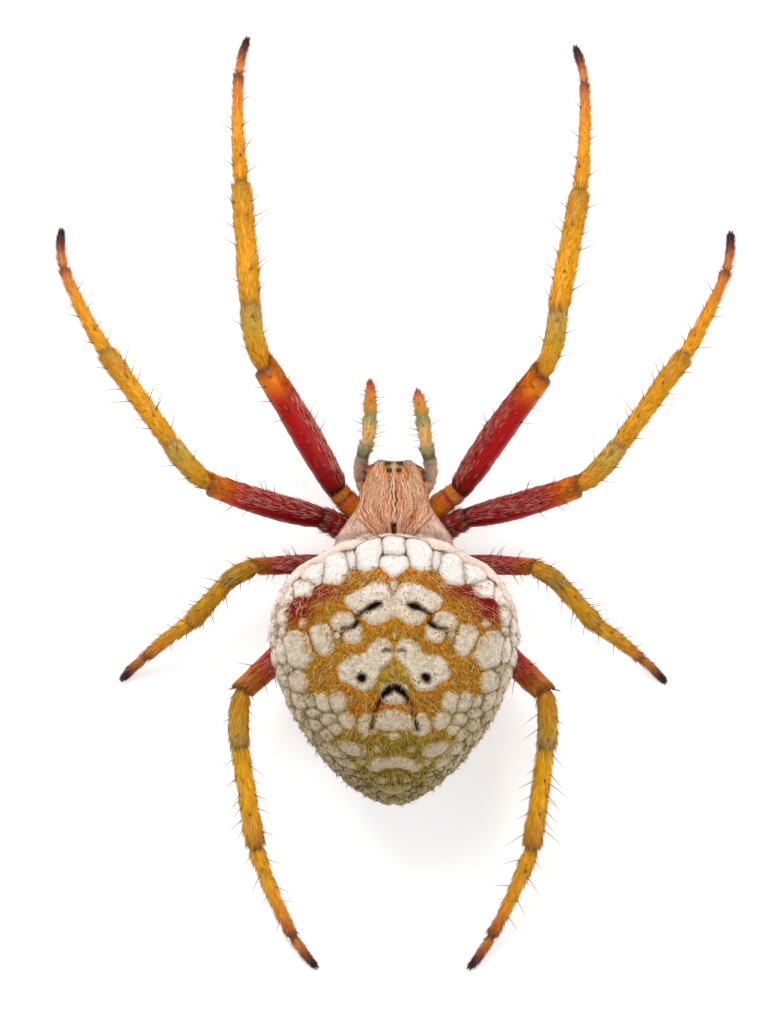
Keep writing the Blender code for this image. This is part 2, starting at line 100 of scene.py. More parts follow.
ABDOMEN = {
    "front": 0.97, "length": 8.77, "width": 8.08, "bottom": 2.00, "depth": 5.40,
    "waist": 0.50, "squareness": 1.00,
    "stations": (
        (0.000, 0.05, 0.610, 0.540), (0.030, 0.40, 0.710, 0.485), (0.070, 0.558, 0.780, 0.455),
        (0.122, 0.756, 0.840, 0.430), (0.185, 0.868, 0.895, 0.400), (0.285, 0.975, 0.955, 0.240),
        (0.360, 1.00, 0.985, 0.080), (0.460, 0.98, 1.000, 0.010), (0.580, 0.895, 0.985, 0.000),
        (0.690, 0.79, 0.925, 0.010), (0.800, 0.63, 0.815, 0.035), (0.880, 0.478, 0.695, 0.070),
        (0.950, 0.29, 0.550, 0.130), (0.985, 0.155, 0.440, 0.190), (1.000, 0.05, 0.340, 0.270),
    ),
}

# Legs, as in the part's source. For each pair: where the coxa starts and ends, seen from above;
# the length from above of each segment after the coxa; the height of every joint from the coxa's
# root to the foot; the radius of each segment at its thickest; how far each bows outwards, as a
# part of its length; and how long its spines are beside those of the first pair
SEGMENTS = ("coxa", "femur", "patella", "tibia", "metatarsus", "tarsus")
NODE_LABELS = ("femur", "tibia", "tarsus")
FOOT_HEIGHT = 0.07
LEG_PAIRS = {
    1: {
        "root": (1.20, 0.25),
        "hip": (1.98, -0.46),
        "spans": (4.57, 2.10, 4.00, 3.55, 1.21),
        "heights": (2.05, 2.30, 3.90, 3.80, 2.10, 0.65, FOOT_HEIGHT),
        "radii": (0.39, 0.48, 0.36, 0.34, 0.24, 0.15),
        "bows": (0.0, -0.012, 0.05, 0.0, 0.02, 0.04),
        "spine_scale": 1.0,
    },
    2: {
        "root": (1.32, 0.95),
        "hip": (2.35, 0.45),
        "spans": (3.77, 1.82, 3.67, 3.09, 1.25),
        "heights": (2.05, 2.30, 3.70, 3.60, 2.00, 0.60, FOOT_HEIGHT),
        "radii": (0.43, 0.44, 0.35, 0.32, 0.24, 0.15),
        "bows": (0.0, 0.02, 0.05, 0.0, 0.025, 0.04),
        "spine_scale": 1.0,
    },
    3: {
        "root": (1.30, 1.70),
        "hip": (2.20, 1.92),
        "spans": (2.23, 1.09, 1.77, 1.86, 1.08),
        "heights": (2.05, 2.20, 3.20, 3.10, 1.90, 0.65, FOOT_HEIGHT),
        "radii": (0.37, 0.33, 0.29, 0.28, 0.21, 0.14),
        "bows": (0.0, 0.0, 0.05, 0.0, 0.02, 0.03),
        "spine_scale": 0.75,
    },
    4: {
        "root": (1.05, 2.42),
        "hip": (1.75, 3.15),
        "spans": (4.27, 1.83, 3.31, 3.18, 1.25),
        "heights": (2.00, 2.00, 2.80, 2.80, 1.85, 0.62, FOOT_HEIGHT),
        "radii": (0.38, 0.45, 0.34, 0.31, 0.23, 0.15),
        "bows": (0.0, 0.0, 0.05, 0.0, 0.025, 0.03),
        "spine_scale": 0.9,
    },
}
LEG_HEADINGS = {
    "left": {
        1: (30.5, 12.75, 4.5, 1.4, -14),
        2: (73.6, 43.2, 35.7, 27.1, 3.5),
        3: (92.6, 117.2, 138, 127, 133.5),
        4: (132.5, 176.5, 188.8, 202.5, 217),
    },
    "right": {
        1: (35.45, 14.5, 10.5, 2.5, -14),
        2: (74.4, 45, 36.2, 26.5, 7),
        3: (93, 120, 138.5, 127, 134),
        4: (133.1, 177.5, 188, 204.5, 214),
    },
}
# How much further out than its pair's place a leg's hip stands
HIP_SHIFTS = {"left": {1: -0.105}, "right": {1: 0.160}}
# How thick a segment's skin is along its length: parts of its length and of its thickest radius
SEGMENT_SHAPES = {
    "coxa": ((0.0, 0.72), (0.45, 0.94), (0.62, 0.96), (0.70, 0.84), (0.78, 0.92), (1.0, 0.80)),
    "femur": ((0.0, 0.70), (0.05, 0.80), (0.20, 0.92), (0.45, 0.97), (0.80, 0.90), (0.93, 0.86),
              (0.975, 0.84), (1.0, 0.62)),
    "patella": ((0.0, 0.64), (0.06, 0.71), (0.16, 0.82), (0.40, 0.88), (0.75, 0.90), (0.93, 0.86),
                (0.98, 0.84), (1.0, 0.80)),
    "tibia": ((0.0, 0.78), (0.06, 0.86), (0.30, 0.85), (0.60, 0.87), (0.86, 0.97), (0.96, 0.95),
              (0.99, 0.87), (1.0, 0.72)),
    "metatarsus": ((0.0, 0.84), (0.05, 1.00), (0.15, 1.02), (0.35, 0.93), (0.60, 0.84), (0.85, 0.76),
                   (0.965, 0.76), (1.0, 0.64)),
    "tarsus": ((0.0, 0.70), (0.10, 0.80), (0.60, 0.88), (0.90, 0.78), (0.97, 0.62), (1.0, 0.34)),
}
# Shapes of the front two pairs that differ from those
FRONT_METATARSUS = ((0.0, 0.84), (0.05, 0.96), (0.15, 0.95), (0.35, 0.82), (0.60, 0.74), (0.85, 0.66),
                    (0.965, 0.70), (1.0, 0.60))
FRONT_SHAPES = {
    1: {"tibia": ((0.0, 0.86), (0.06, 0.95), (0.30, 1.00), (0.60, 0.93), (0.86, 0.96), (0.96, 0.93),
                  (0.99, 0.86), (1.0, 0.72)),
        "metatarsus": FRONT_METATARSUS},
    2: {"metatarsus": FRONT_METATARSUS},
}
# How far the end of a femur reaches over the joint, on its front and on its rear
FEMUR_LOBES = (0.25, 0.05)
# Colours along a segment's skin: parts of its length and the colour there. The coxae of the front
# two pairs are in the table after these two
FRONT_TINTS = {
    "femur": ((0.0, "4A1204"), (0.08, "84100A"), (0.30, "A00A08"), (0.62, "AC0C08"), (0.74, "B41C04"),
              (0.83, "CC500A"), (0.93, "E07C0C"), (0.975, "B05C14"), (1.0, "3A1410")),
    "patella": ((0.0, "6A3C0C"), (0.07, "C88018"), (0.25, "D08C14"), (0.60, "C89A28"), (0.82, "C8A040"),
                (0.95, "BE9848"), (1.0, "8A6424")),
    "tibia": ((0.0, "A06A10"), (0.05, "D89004"), (0.35, "E49E04"), (0.70, "DA9406"), (0.88, "CC8C1C"),
              (0.97, "BA8026"), (1.0, "6A3C0C")),
    "metatarsus": ((0.0, "7A440C"), (0.05, "E0960E"), (0.40, "E8980C"), (0.70, "E48816"),
                   (0.88, "D07628"), (0.95, "9A5022"), (1.0, "5A2816")),
    "tarsus": ((0.0, "8A4A20"), (0.08, "D68038"), (0.30, "BE6A36"), (0.52, "86382A"), (0.78, "441818"),
               (1.0, "160808")),
}
REAR_TINTS = {
    "coxa": ((0.0, "9A685A"), (0.50, "8A4A30"), (0.66, "4A160C"), (0.80, "7A3A1C"), (1.0, "5A1C0C")),
    "femur": ((0.0, "380A0C"), (0.15, "70040C"), (0.45, "98060E"), (0.70, "A0120C"), (0.84, "B0461A"),
              (0.94, "B86A26"), (0.975, "905020"), (1.0, "260E08")),
    "patella": ((0.0, "4E300A"), (0.08, "B87E20"), (0.40, "C48A1C"), (0.80, "BE9026"), (0.95, "98803A"),
                (1.0, "4E3C14")),
    "tibia": ((0.0, "7A4E0C"), (0.06, "EAAA12"), (0.40, "F0B00E"), (0.70, "E0A016"), (0.90, "C4842A"),
              (0.97, "9A641C"), (1.0, "52300C")),
    "metatarsus": ((0.0, "7A480F"), (0.06, "E8A418"), (0.45, "E8A01C"), (0.70, "E08A20"),
                   (0.88, "C06C26"), (0.96, "7E4220"), (1.0, "4A2212")),
    "tarsus": ((0.0, "7E4218"), (0.10, "CA7C34"), (0.38, "B0622E"), (0.60, "763424"), (0.84, "3A1412"),
               (1.0, "140808")),
}
# Colours that only one pair has
PAIR_TINTS = {
    1: {"coxa": ((0.0, "D08C5C"), (0.15, "C87814"), (0.45, "CC6C0A"), (0.62, "B85008"), (0.70, "8A300A"),
                 (0.80, "C07020"), (0.93, "AC5C18"), (1.0, "5A1408"))},
    2: {"coxa": ((0.0, "7A3414"), (0.30, "8A2A0C"), (0.55, "6E0E0A"), (0.80, "7A1810"), (1.0, "4A0608")),
        "femur": ((0.0, "4A0408"), (0.10, "7C0408"), (0.30, "8E0408"), (0.62, "9A0608"), (0.74, "B01C04"),
                  (0.83, "C84C06"), (0.93, "DC780C"), (0.975, "A85A18"), (1.0, "3A1410"))},
}
# Where the spines stand on a segment: the angle round it from its top, positive to the front, and
# the parts of the segment's length
SPINE_ROWS = {
    "femur": {0: (0.42, 0.70, 0.93), 60: (0.45, 0.58, 0.84), -60: (0.66, 0.88), 95: (0.52,),
              -95: (0.78,)},
    "patella": {10: (0.86,), 75: (0.55,), -75: (0.36, 0.70)},
    "tibia": {15: (0.30, 0.68), 70: (0.10, 0.26, 0.45, 0.62, 0.82), -70: (0.18, 0.50, 0.86),
              95: (0.34, 0.72), -95: (0.66,), 130: (0.50,), -130: (0.35,)},
    "metatarsus": {75: (0.10, 0.30, 0.52, 0.76), -75: (0.16, 0.48), 20: (0.22,), 130: (0.40,),
                   -130: (0.60,)},
    "tarsus": {70: (0.08,), -70: (0.10,), 110: (0.06,)},
}
SPINE_LENGTHS = {"femur": 0.60, "patella": 0.66, "tibia": 0.84, "metatarsus": 0.68, "tarsus": 0.26}
# For each pair, the side of the femora where the pale setae stand, in degrees from the top to the
# front, and how dense they are there
PALE_SETAE = {1: (66, 2.4), 2: (30, 1.4), 3: (0, 1.4), 4: (-10, 1.4)}

# The palps: the places of their joints seen from above, with heights and radii
PALPS = {
    "left": ((0.86, -0.30), (1.09, -0.78), (1.02, -1.56), (0.84, -2.08), (0.77, -2.86), (0.77, -4.02)),
    "right": ((0.88, -0.30), (1.18, -0.76), (1.14, -1.52), (1.05, -1.97), (0.93, -2.81), (0.75, -3.70)),
}
PALP_HEIGHTS = (1.98, 2.15, 2.85, 2.90, 2.60, 1.75)
PALP_SEGMENTS = ("trochanter", "femur", "patella", "tibia", "tarsus")
PALP_RADII = (0.22, 0.22, 0.225, 0.225, 0.20)
PALP_SHAPES = {
    "trochanter": ((0.0, 0.85), (0.6, 1.0), (1.0, 0.85)),
    "femur": ((0.0, 0.80), (0.3, 0.92), (0.85, 1.0), (1.0, 0.92)),
    "patella": ((0.0, 0.86), (0.4, 1.0), (0.85, 0.98), (1.0, 0.84)),
    "tibia": ((0.0, 0.74), (0.15, 0.82), (0.75, 0.98), (0.92, 0.96), (1.0, 0.86)),
    "tarsus": ((0.0, 0.92), (0.15, 1.0), (0.55, 0.86), (0.85, 0.62), (0.96, 0.42), (1.0, 0.16)),
}
PALP_TINTS = {
    "trochanter": ((0.0, "C8A488"), (1.0, "DCB8A2")),
    "femur": ((0.0, "E4C0AA"), (0.75, "DCBCA4"), (0.90, "B8A68A"), (1.0, "847A5C")),
    "patella": ((0.0, "665E46"), (0.25, "827A58"), (0.65, "AC9C6A"), (0.90, "C4A668"), (1.0, "A08448")),
    "tibia": ((0.0, "CC9450"), (0.12, "D8A858"), (0.50, "C6A25C"), (0.80, "9C8E5A"), (1.0, "84784A")),
    "tarsus": ((0.0, "9A8426"), (0.12, "CC8A16"), (0.50, "D07A18"), (0.75, "BC4E18"), (0.90, "80220E"),
               (1.0, "2E0A06")),
}

# The palps' bristles, in the same way as the legs' spines
BRISTLE_ROWS = {
    "patella": {75: (0.75,), -75: (0.80,)},
    "tibia": {80: (0.10, 0.20, 0.55, 0.78), -80: (0.20, 0.62, 0.84), 110: (0.35, 0.66),
              -110: (0.40, 0.72), 10: (0.60,)},
    "tarsus": {80: (0.08, 0.24, 0.38, 0.50, 0.62, 0.76), -80: (0.12, 0.26, 0.42, 0.55, 0.68, 0.80),
               110: (0.16, 0.34, 0.56, 0.70), -110: (0.20, 0.38, 0.60, 0.74), 10: (0.30,)},
}
BRISTLE_LENGTHS = {"patella": 0.40, "tibia": 0.66, "tarsus": 0.50}

# Each eye's radius and its place seen from above on the left half of the head
EYES = {
    "front_middle": (0.105, 0.20, -1.30),
    "rear_middle": (0.095, 0.155, -1.08),
    "front_side": (0.068, 0.93, -1.02),
    "rear_side": (0.064, 0.97, -0.80),
}

# The raised pale pads on the left half of the abdomen's back, mirrored on the right: how far each
# is from the midline and along the body, its half width and half length seen from above, its turn
# in degrees, and how square it is, from 2 for an ellipse
PADS = (
    (0.00, 1.25, 0.35, 0.33, 0, 4.0), (0.85, 1.52, 0.42, 0.56, 0, 3.2),
    (1.42, 1.76, 0.22, 0.32, 25, 2.6), (1.90, 2.03, 0.45, 0.55, 0, 2.8),
    (2.60, 2.22, 0.38, 0.42, 0, 2.6), (2.90, 2.70, 0.33, 0.32, 0, 2.4),
    (3.64, 3.58, 0.17, 0.45, -3, 2.4), (3.93, 4.02, 0.12, 0.26, 0, 2.4),
    (3.64, 4.12, 0.15, 0.17, 0, 2.2), (1.66, 3.82, 0.42, 0.37, 0, 2.2),
    (1.34, 4.15, 0.35, 0.36, 0, 2.2), (1.86, 4.27, 0.13, 0.21, 10, 2.0),
    (2.99, 3.86, 0.14, 0.16, 0, 2.0), (3.11, 5.73, 0.31, 0.35, 0, 2.3),
    (3.72, 4.75, 0.16, 0.42, 12, 2.4), (3.50, 5.40, 0.17, 0.16, 0, 2.2),
    (3.93, 4.45, 0.11, 0.25, 0, 2.2), (0.00, 4.25, 0.06, 0.09, 0, 2.0),
    (0.00, 6.12, 0.50, 0.39, 0, 2.2), (1.82, 6.41, 0.30, 0.35, 0, 2.3),
    (2.34, 6.41, 0.24, 0.34, 0, 2.4), (2.75, 6.42, 0.18, 0.20, 0, 2.4),
    (3.12, 6.44, 0.20, 0.26, 0, 2.4), (2.60, 6.80, 0.21, 0.18, 0, 2.4),
    (2.19, 7.01, 0.25, 0.21, 0, 2.3), (1.53, 7.05, 0.28, 0.31, 0, 2.2),
    (1.92, 7.32, 0.22, 0.20, 0, 2.3), (2.63, 7.20, 0.24, 0.22, 0, 2.3),
    (2.24, 7.49, 0.21, 0.20, 0, 2.3), (2.50, 7.68, 0.18, 0.14, 35, 2.3),
    (1.39, 7.95, 0.47, 0.27, -20, 2.4), (1.99, 8.02, 0.29, 0.22, -20, 2.3),
    (1.60, 8.45, 0.30, 0.22, -20, 2.3), (1.06, 8.39, 0.15, 0.12, 0, 2.0),
    (0.57, 7.95, 0.14, 0.12, 0, 2.0), (0.00, 7.55, 0.23, 0.12, 0, 2.0),
    (0.41, 8.97, 0.19, 0.12, 0, 2.0), (0.00, 8.94, 0.09, 0.09, 0, 2.0),
    (0.80, 8.84, 0.12, 0.08, 0, 2.0), (1.14, 8.84, 0.24, 0.09, -20, 2.2),
    (0.93, 9.00, 0.20, 0.07, -15, 2.2), (0.00, 9.27, 0.80, 0.13, 0, 2.4),
)
# Pads whose outline is worked, seen from above: those that cross the midline, as the points of
# their left half from its front to its rear, and those beside it, as points all the way round
MIDDLE_OUTLINES = (
    ((0.00, 1.59), (0.25, 1.60), (0.42, 1.71), (0.49, 1.86), (0.45, 2.00), (0.33, 2.12), (0.22, 2.24),
     (0.14, 2.33), (0.00, 2.34)),
    ((0.00, 2.48), (0.15, 2.49), (0.14, 2.60), (0.09, 2.75), (0.03, 2.90), (0.00, 2.93)),
    ((0.00, 2.96), (0.06, 2.84), (0.16, 2.60), (0.38, 2.51), (0.63, 2.48), (0.94, 2.66), (1.25, 2.80),
     (1.57, 2.95), (1.64, 3.13), (1.50, 3.34), (1.31, 3.47), (1.09, 3.56), (1.00, 3.69), (0.85, 3.87),
     (0.57, 3.92), (0.29, 3.81), (0.11, 3.65), (0.00, 3.60)),
    ((0.00, 6.65), (0.30, 6.68), (0.52, 6.80), (0.66, 6.97), (0.72, 7.15), (0.70, 7.30), (0.55, 7.37),
     (0.45, 7.30), (0.30, 7.38), (0.15, 7.32), (0.00, 7.38)),
    ((0.00, 8.16), (0.21, 8.16), (0.38, 8.17), (0.56, 8.24), (0.76, 8.30), (0.95, 8.53), (0.90, 8.62),
     (0.76, 8.72), (0.53, 8.72), (0.41, 8.65), (0.27, 8.60), (0.00, 8.56)),
)
SIDE_OUTLINES = (
    ((0.07, 4.50), (0.26, 4.32), (0.53, 4.34), (0.75, 4.50), (0.91, 4.74), (1.12, 4.87), (1.40, 4.87),
     (1.62, 5.02), (1.84, 5.24), (1.88, 5.52), (1.75, 5.74), (1.47, 5.83), (1.31, 5.99), (1.00, 6.09),
     (0.69, 5.99), (0.55, 5.74), (0.41, 5.43), (0.26, 5.21), (0.07, 5.05), (0.01, 4.87), (0.01, 4.65)),
    ((2.76, 4.12), (2.68, 3.95), (2.42, 3.87), (2.18, 3.88), (2.07, 4.00), (2.03, 4.18), (1.95, 4.41),
     (1.90, 4.58), (1.95, 4.76), (2.10, 4.90), (2.27, 4.95), (2.42, 4.87), (2.53, 4.73), (2.62, 4.61),
     (2.68, 4.41), (2.74, 4.27)),
    ((3.62, 4.30), (3.45, 4.12), (3.17, 4.08), (2.95, 4.17), (2.80, 4.30), (2.72, 4.56), (2.70, 4.72),
     (2.55, 4.85), (2.53, 5.00), (2.65, 5.11), (2.76, 5.20), (2.83, 5.33), (3.00, 5.36), (3.20, 5.32),
     (3.34, 5.24), (3.43, 5.08), (3.48, 4.88), (3.52, 4.68), (3.58, 4.50)),
    ((1.05, 6.79), (0.88, 6.72), (0.74, 6.79), (0.72, 7.08), (0.66, 7.28), (0.53, 7.40), (0.59, 7.49),
     (0.96, 7.55), (1.17, 7.40), (1.23, 7.23), (1.19, 7.00)),
)
# Black marks on the back: points from the midline and along the body, with the half width at each
MARKS = (
    ((0.46, 3.24, 0.06), (0.58, 3.27, 0.11), (0.72, 3.32, 0.11), (0.90, 3.42, 0.055), (1.25, 3.62, 0.03)),
    ((1.22, 3.68, 0.03), (1.16, 3.80, 0.07), (1.30, 3.95, 0.07), (1.42, 4.02, 0.035), (1.68, 4.05, 0.02)),
    ((1.032, 5.62, 0.15), (1.042, 5.63, 0.15)),
    ((0.12, 4.74, 0.016), (0.24, 4.71, 0.032), (0.36, 4.76, 0.014)),
    ((0.00, 5.90, 0.10), (0.14, 5.96, 0.13), (0.30, 6.12, 0.10), (0.42, 6.30, 0.06), (0.53, 6.52, 0.050),
     (0.62, 6.75, 0.040), (0.69, 7.02, 0.032), (0.74, 7.24, 0.060)),
)
# The plain raised rim of the abdomen's front: how far along it ends, by distance from the midline
FRONT_RIM = (
    (0.00, 0.985), (0.56, 1.02), (0.90, 1.107), (1.06, 1.20), (1.13, 1.27), (1.41, 1.44), (1.80, 1.476),
    (2.08, 1.56), (2.35, 1.85), (2.68, 1.94), (2.94, 2.13), (3.27, 2.37), (3.55, 2.90), (3.85, 3.40),
    (4.00, 3.90),
)
RIM_DOWN_TO = 2.2
# Where the paved margin begins, as distance from the midline along the body
PAVED_FROM = (
    (0.97, 4.10), (1.90, 3.60), (2.10, 3.25), (2.60, 3.42), (3.10, 3.62), (3.60, 3.90), (4.20, 3.98),
    (5.20, 3.80), (5.40, 3.60), (6.00, 3.42), (6.20, 3.25), (6.70, 2.92), (7.00, 2.80), (7.50, 2.55),
    (7.80, 2.35), (8.20, 2.10), (8.50, 1.80), (8.75, 1.35), (9.00, 1.12), (9.15, 1.00), (9.45, 0.30),
    (9.74, 0.00),
)
PAVED_DOWN_TO = 2.15
# How many places are tried for its small pads
PAVING_TRIES = 5200
# Where the pads grow until they meet, so that only thin creases are left, in the same way
CLOSE_SET_FROM = (
    (0.97, 0.00), (1.78, 0.00), (2.00, 0.55), (2.10, 1.35), (2.30, 1.60), (2.50, 2.20), (2.70, 2.65),
    (2.90, 2.90), (3.05, 3.15), (3.20, 3.40), (3.60, 3.48), (4.05, 3.50), (4.15, 3.05), (5.30, 2.95),
    (5.50, 3.15), (5.90, 3.25), (6.10, 2.90), (6.22, 1.75), (6.60, 1.65), (6.90, 1.45), (7.20, 1.50),
    (7.40, 1.85), (7.62, 2.10), (7.80, 1.85), (8.00, 1.65), (8.30, 1.40), (8.60, 1.25), (8.85, 1.05),
    (9.00, 0.95), (9.20, 0.00), (9.74, 0.00),
)

# The strands of the head run along lines that keep their part of this width, given along the body
STREAM_WIDTHS = (
    (-1.45, 0.50), (-1.27, 0.567), (-0.84, 0.76), (-0.26, 0.93), (0.00, 1.00), (0.17, 0.99), (0.50, 0.83),
    (0.87, 0.56), (1.20, 0.40), (3.20, 0.30),
)
LANE_SPACING = 0.065
MIDLINE_GROOVE = 0.065

# Mouthparts, pedicel, scape and spinnerets, as rows of x, y, z and radius along each
JAW_PATH = ((0.38, -0.90, 2.64, 0.26), (0.42, -1.00, 2.30, 0.32), (0.42, -1.09, 1.90, 0.33),
            (0.38, -1.14, 1.50, 0.27), (0.33, -1.14, 1.28, 0.17))
FANG_PATH = ((0.33, -1.16, 1.26, 0.13), (0.33, -1.16, 1.17, 0.13), (0.29, -1.12, 1.06, 0.11),
             (0.20, -1.00, 0.98, 0.075), (0.12, -0.86, 1.00, 0.02))
MAXILLA_PATH = ((0.42, -0.08, 1.92, 0.16), (0.40, -0.22, 1.90, 0.24), (0.40, -0.36, 1.89, 0.265),
                (0.38, -0.52, 1.90, 0.23), (0.36, -0.63, 1.92, 0.11))
LABIUM_PATH = ((0.0, 0.12, 1.90, 0.12), (0.0, 0.02, 1.84, 0.17), (0.0, -0.12, 1.84, 0.16),
               (0.0, -0.22, 1.88, 0.07))
PEDICEL_PATH = ((0.0, 2.95, 2.70, 0.20), (0.0, 3.36, 2.78, 0.33), (0.0, 3.48, 2.80, 0.29),
                (0.0, 3.66, 2.84, 0.33), (0.0, 4.10, 3.05, 0.30))
SCAPE_PATH = ((0.0, 4.56, 2.50, 0.30), (0.0, 4.62, 2.12, 0.30), (0.0, 4.72, 1.90, 0.20),
              (0.0, 4.90, 1.80, 0.12), (0.0, 5.08, 1.77, 0.06))
SPINNERET_ROOT = (0.0, 8.50, 2.12)
# Each spinneret's direction from the middle of their collar, in degrees, and its length
SPINNERETS = ((40, 0.62), (140, 0.55), (220, 0.55), (320, 0.62), (0, 0.34), (180, 0.34))
# The colours along each of them, in the same way as along a leg's segment
JAW_TINTS = ((0.0, "8A4A30"), (0.4, "7A3012"), (0.7, "8A3C14"), (0.85, "6A2408"), (1.0, "2E0E06"))
FANG_TINTS = ((0.0, "4A1408"), (0.5, "2A0804"), (1.0, "120402"))
MAXILLA_TINTS = ((0.0, "6E3A1C"), (0.6, "9A6030"), (1.0, "C8A070"))
LABIUM_TINTS = ((0.0, "3A1C0E"), (0.6, "5A3418"), (1.0, "A88450"))
PEDICEL_TINTS = ((0.0, "7A4A30"), (0.5, "5A2A18"), (1.0, "8A5A34"))
SCAPE_TINTS = ((0.0, "3A1A0C"), (0.5, "6A3410"), (1.0, "A86A2C"))
COLLAR_TINTS = ((0.0, "4A3018"), (0.6, "3A2010"), (1.0, "5A3A1C"))
CONE_TINTS = ((0.0, "4A2A14"), (0.7, "6A4220"), (1.0, "B08A50"))


def linear(code):
    """A colour written as six hexadecimal digits, as linear red, green and blue."""
    parts = np.array([int(code[place:place + 2], 16) / 255 for place in (0, 2, 4)])
    return np.where(parts <= 0.04045, parts / 12.92, ((parts + 0.055) / 1.055) ** 2.4)


def unit(vectors):
    """Vectors at length one."""
    return vectors / np.maximum(np.linalg.norm(vectors, axis=-1, keepdims=True), 1e-12)


def ease(low, high, value):
    """From 0 at low to 1 at high, eased at both ends by 3t² - 2t³."""
    t = np.clip((value - low) / (high - low), 0.0, 1.0)
    return t * t * (3 - 2 * t)


def blend(start, end, factor):
    """A weighted mean of two colours, by a factor for each point."""
    factor = np.asarray(factor)[..., None]
    return np.asarray(start) * (1 - factor) + np.asarray(end) * factor


def washed(colour, rows):
    """A colour with others laid over it in turn, each given as its code and how much of it shows."""
    for code, amount in rows:
        colour = blend(colour, linear(code), amount)
    return colour


def one_tone(code, count):
    """The same colour for each of a number of strands."""
    return np.repeat(linear(code)[None], count, axis=0)


def bell(*terms):
    """1 where every value is at its middle, falling away from it: e^-(sum of (distance / width)²)."""
    return np.exp(-sum(((value - middle) / width) ** 2 for value, middle, width in terms))


def smooth_rows(rows, places):
    """Every column of the rows at the places, by cubic curves between rows that never overshoot.

    The slope at a row is the harmonic mean of the slopes on its two sides, or 0 at a turn.
    """
    table = np.array(rows, dtype=float)
    knots, values = table[:, 0], table[:, 1:]
    steps = np.diff(knots)[:, None]
    slopes = np.diff(values, axis=0) / steps
    product = slopes[:-1] * slopes[1:]
    total = np.where(product > 0, slopes[:-1] + slopes[1:], 1.0)
    inner = np.where(product > 0, 2 * product / total, 0.0)
    tangents = np.vstack([slopes[:1], inner, slopes[-1:]])
    places = np.clip(np.asarray(places, dtype=float), knots[0], knots[-1])
    row = np.clip(np.searchsorted(knots, places) - 1, 0, len(steps) - 1)
    width = steps[row]
    t = ((places - knots[row])[..., None]) / width
    start = (2 * t**3 - 3 * t**2 + 1) * values[row] + (t**3 - 2 * t**2 + t) * width * tangents[row]
    end = (3 * t**2 - 2 * t**3) * values[row + 1] + (t**3 - t**2) * width * tangents[row + 1]
    return start + end


def between(rows, value):
    """The second column of a table at values of its first, along straight lines between rows."""
    return np.interp(value, *np.array(rows).T)


def noise(points, size, seed):
    """Noise from -1 to 1: a random value at each corner of a lattice, eased between the corners."""
    scaled = points / size + seed * 17.31
    cell = np.floor(scaled).astype(np.int64)
    part = scaled - cell
    part = part * part * (3 - 2 * part)
    total = np.zeros(points.shape[:-1])
    for corner in itertools.product((0, 1), repeat=3):
        where = (cell + np.array(corner)) * np.array([73856093, 19349663, 83492791])
        mixed = (where[..., 0] ^ where[..., 1] ^ where[..., 2]) & 0x7FFFFFFF
        mixed = ((mixed ^ (mixed >> 15)) * 48271) & 0x7FFFFFFF
        mixed = ((mixed ^ (mixed >> 13)) * 69621) & 0x7FFFFFFF
        weight = np.prod(np.where(np.array(corner) == 1, part, 1 - part), axis=-1)
        total += weight * ((mixed >> 7) & 0xFFFF) / 0xFFFF
    return total * 2 - 1


def grid_normals(points):
    """The direction square to a closed grid at each of its points, from its two differences."""
    along = np.gradient(points, axis=0)
    around = np.roll(points, -1, axis=1) - np.roll(points, 1, axis=1)
    normals = unit(np.cross(around, along))
    centre = points.mean(axis=1, keepdims=True)
    outward = ((points - centre) * normals).sum(axis=-1).mean()
    return normals if outward > 0 else -normals


def body_rings(body, rings, sides, top_part=0.46):
    """Rings square to the body's axis, each an ellipse that is widest at its waist.

    A point stands at x = half width * sin(a) and z = waist + reach * cos(a), where a is the angle
    from the top and a squareness under 1 is a power of the sine. Points are closer on the back.
    """
    spread = np.arange(sides) / sides * 2 - 1
    angle = math.pi * (top_part * spread + (1 - top_part) * spread**3)
    even = np.linspace(0, 1, rings)
    place = 0.3 * (1 - np.cos(math.pi * even)) / 2 + 0.7 * even
    return body_points(body, place[:, None], angle[None, :]), place, angle


def body_section(body, place):
    """A body's half width and the heights of its top, waist and base at parts of its length."""
    values = smooth_rows(body["stations"], place)
    half = values[..., 0] * body["width"] / 2
    top = body["bottom"] + values[..., 1] * body["depth"]
    base = body["bottom"] + values[..., 2] * body["depth"]
    return half, top, base + (top - base) * body["waist"], base


def body_points(body, place, angle):
    """Points of a body at parts of its length and at angles round it from its top."""
    place, angle = np.broadcast_arrays(place, angle)
    half, top, middle, base = body_section(body, place)
    sine, cosine = np.sin(angle), np.cos(angle)
    reach = np.where(cosine > 0, top - middle, middle - base)
    across = np.sign(sine) * np.abs(sine) ** body["squareness"]
    return np.stack([half * across, body["front"] + place * body["length"], middle + reach * cosine],
                    axis=-1)


def path_frames(path, up):
    """Along, sideways and over a path: sideways is square to the path and to the given up."""
    along = unit(np.gradient(path, axis=0))
    side = unit(np.cross(along, np.array(up)))
    return along, side, np.cross(side, along)


def tube_points(path, radii, angles, up=UP):
    """Rings round a path: centre + radius * (sideways * sin(a) + over * cos(a))."""
    _, side, over = path_frames(path, up)
    turn = side[:, None] * np.sin(angles)[None, :, None] + over[:, None] * np.cos(angles)[None, :, None]
    return path[:, None] + radii[:, None, None] * turn


def ring_angles(sides):
    """Angles round a tube from its top, from just under -180 degrees to just under 180."""
    return (np.arange(sides) / sides * 2 - 1) * math.pi


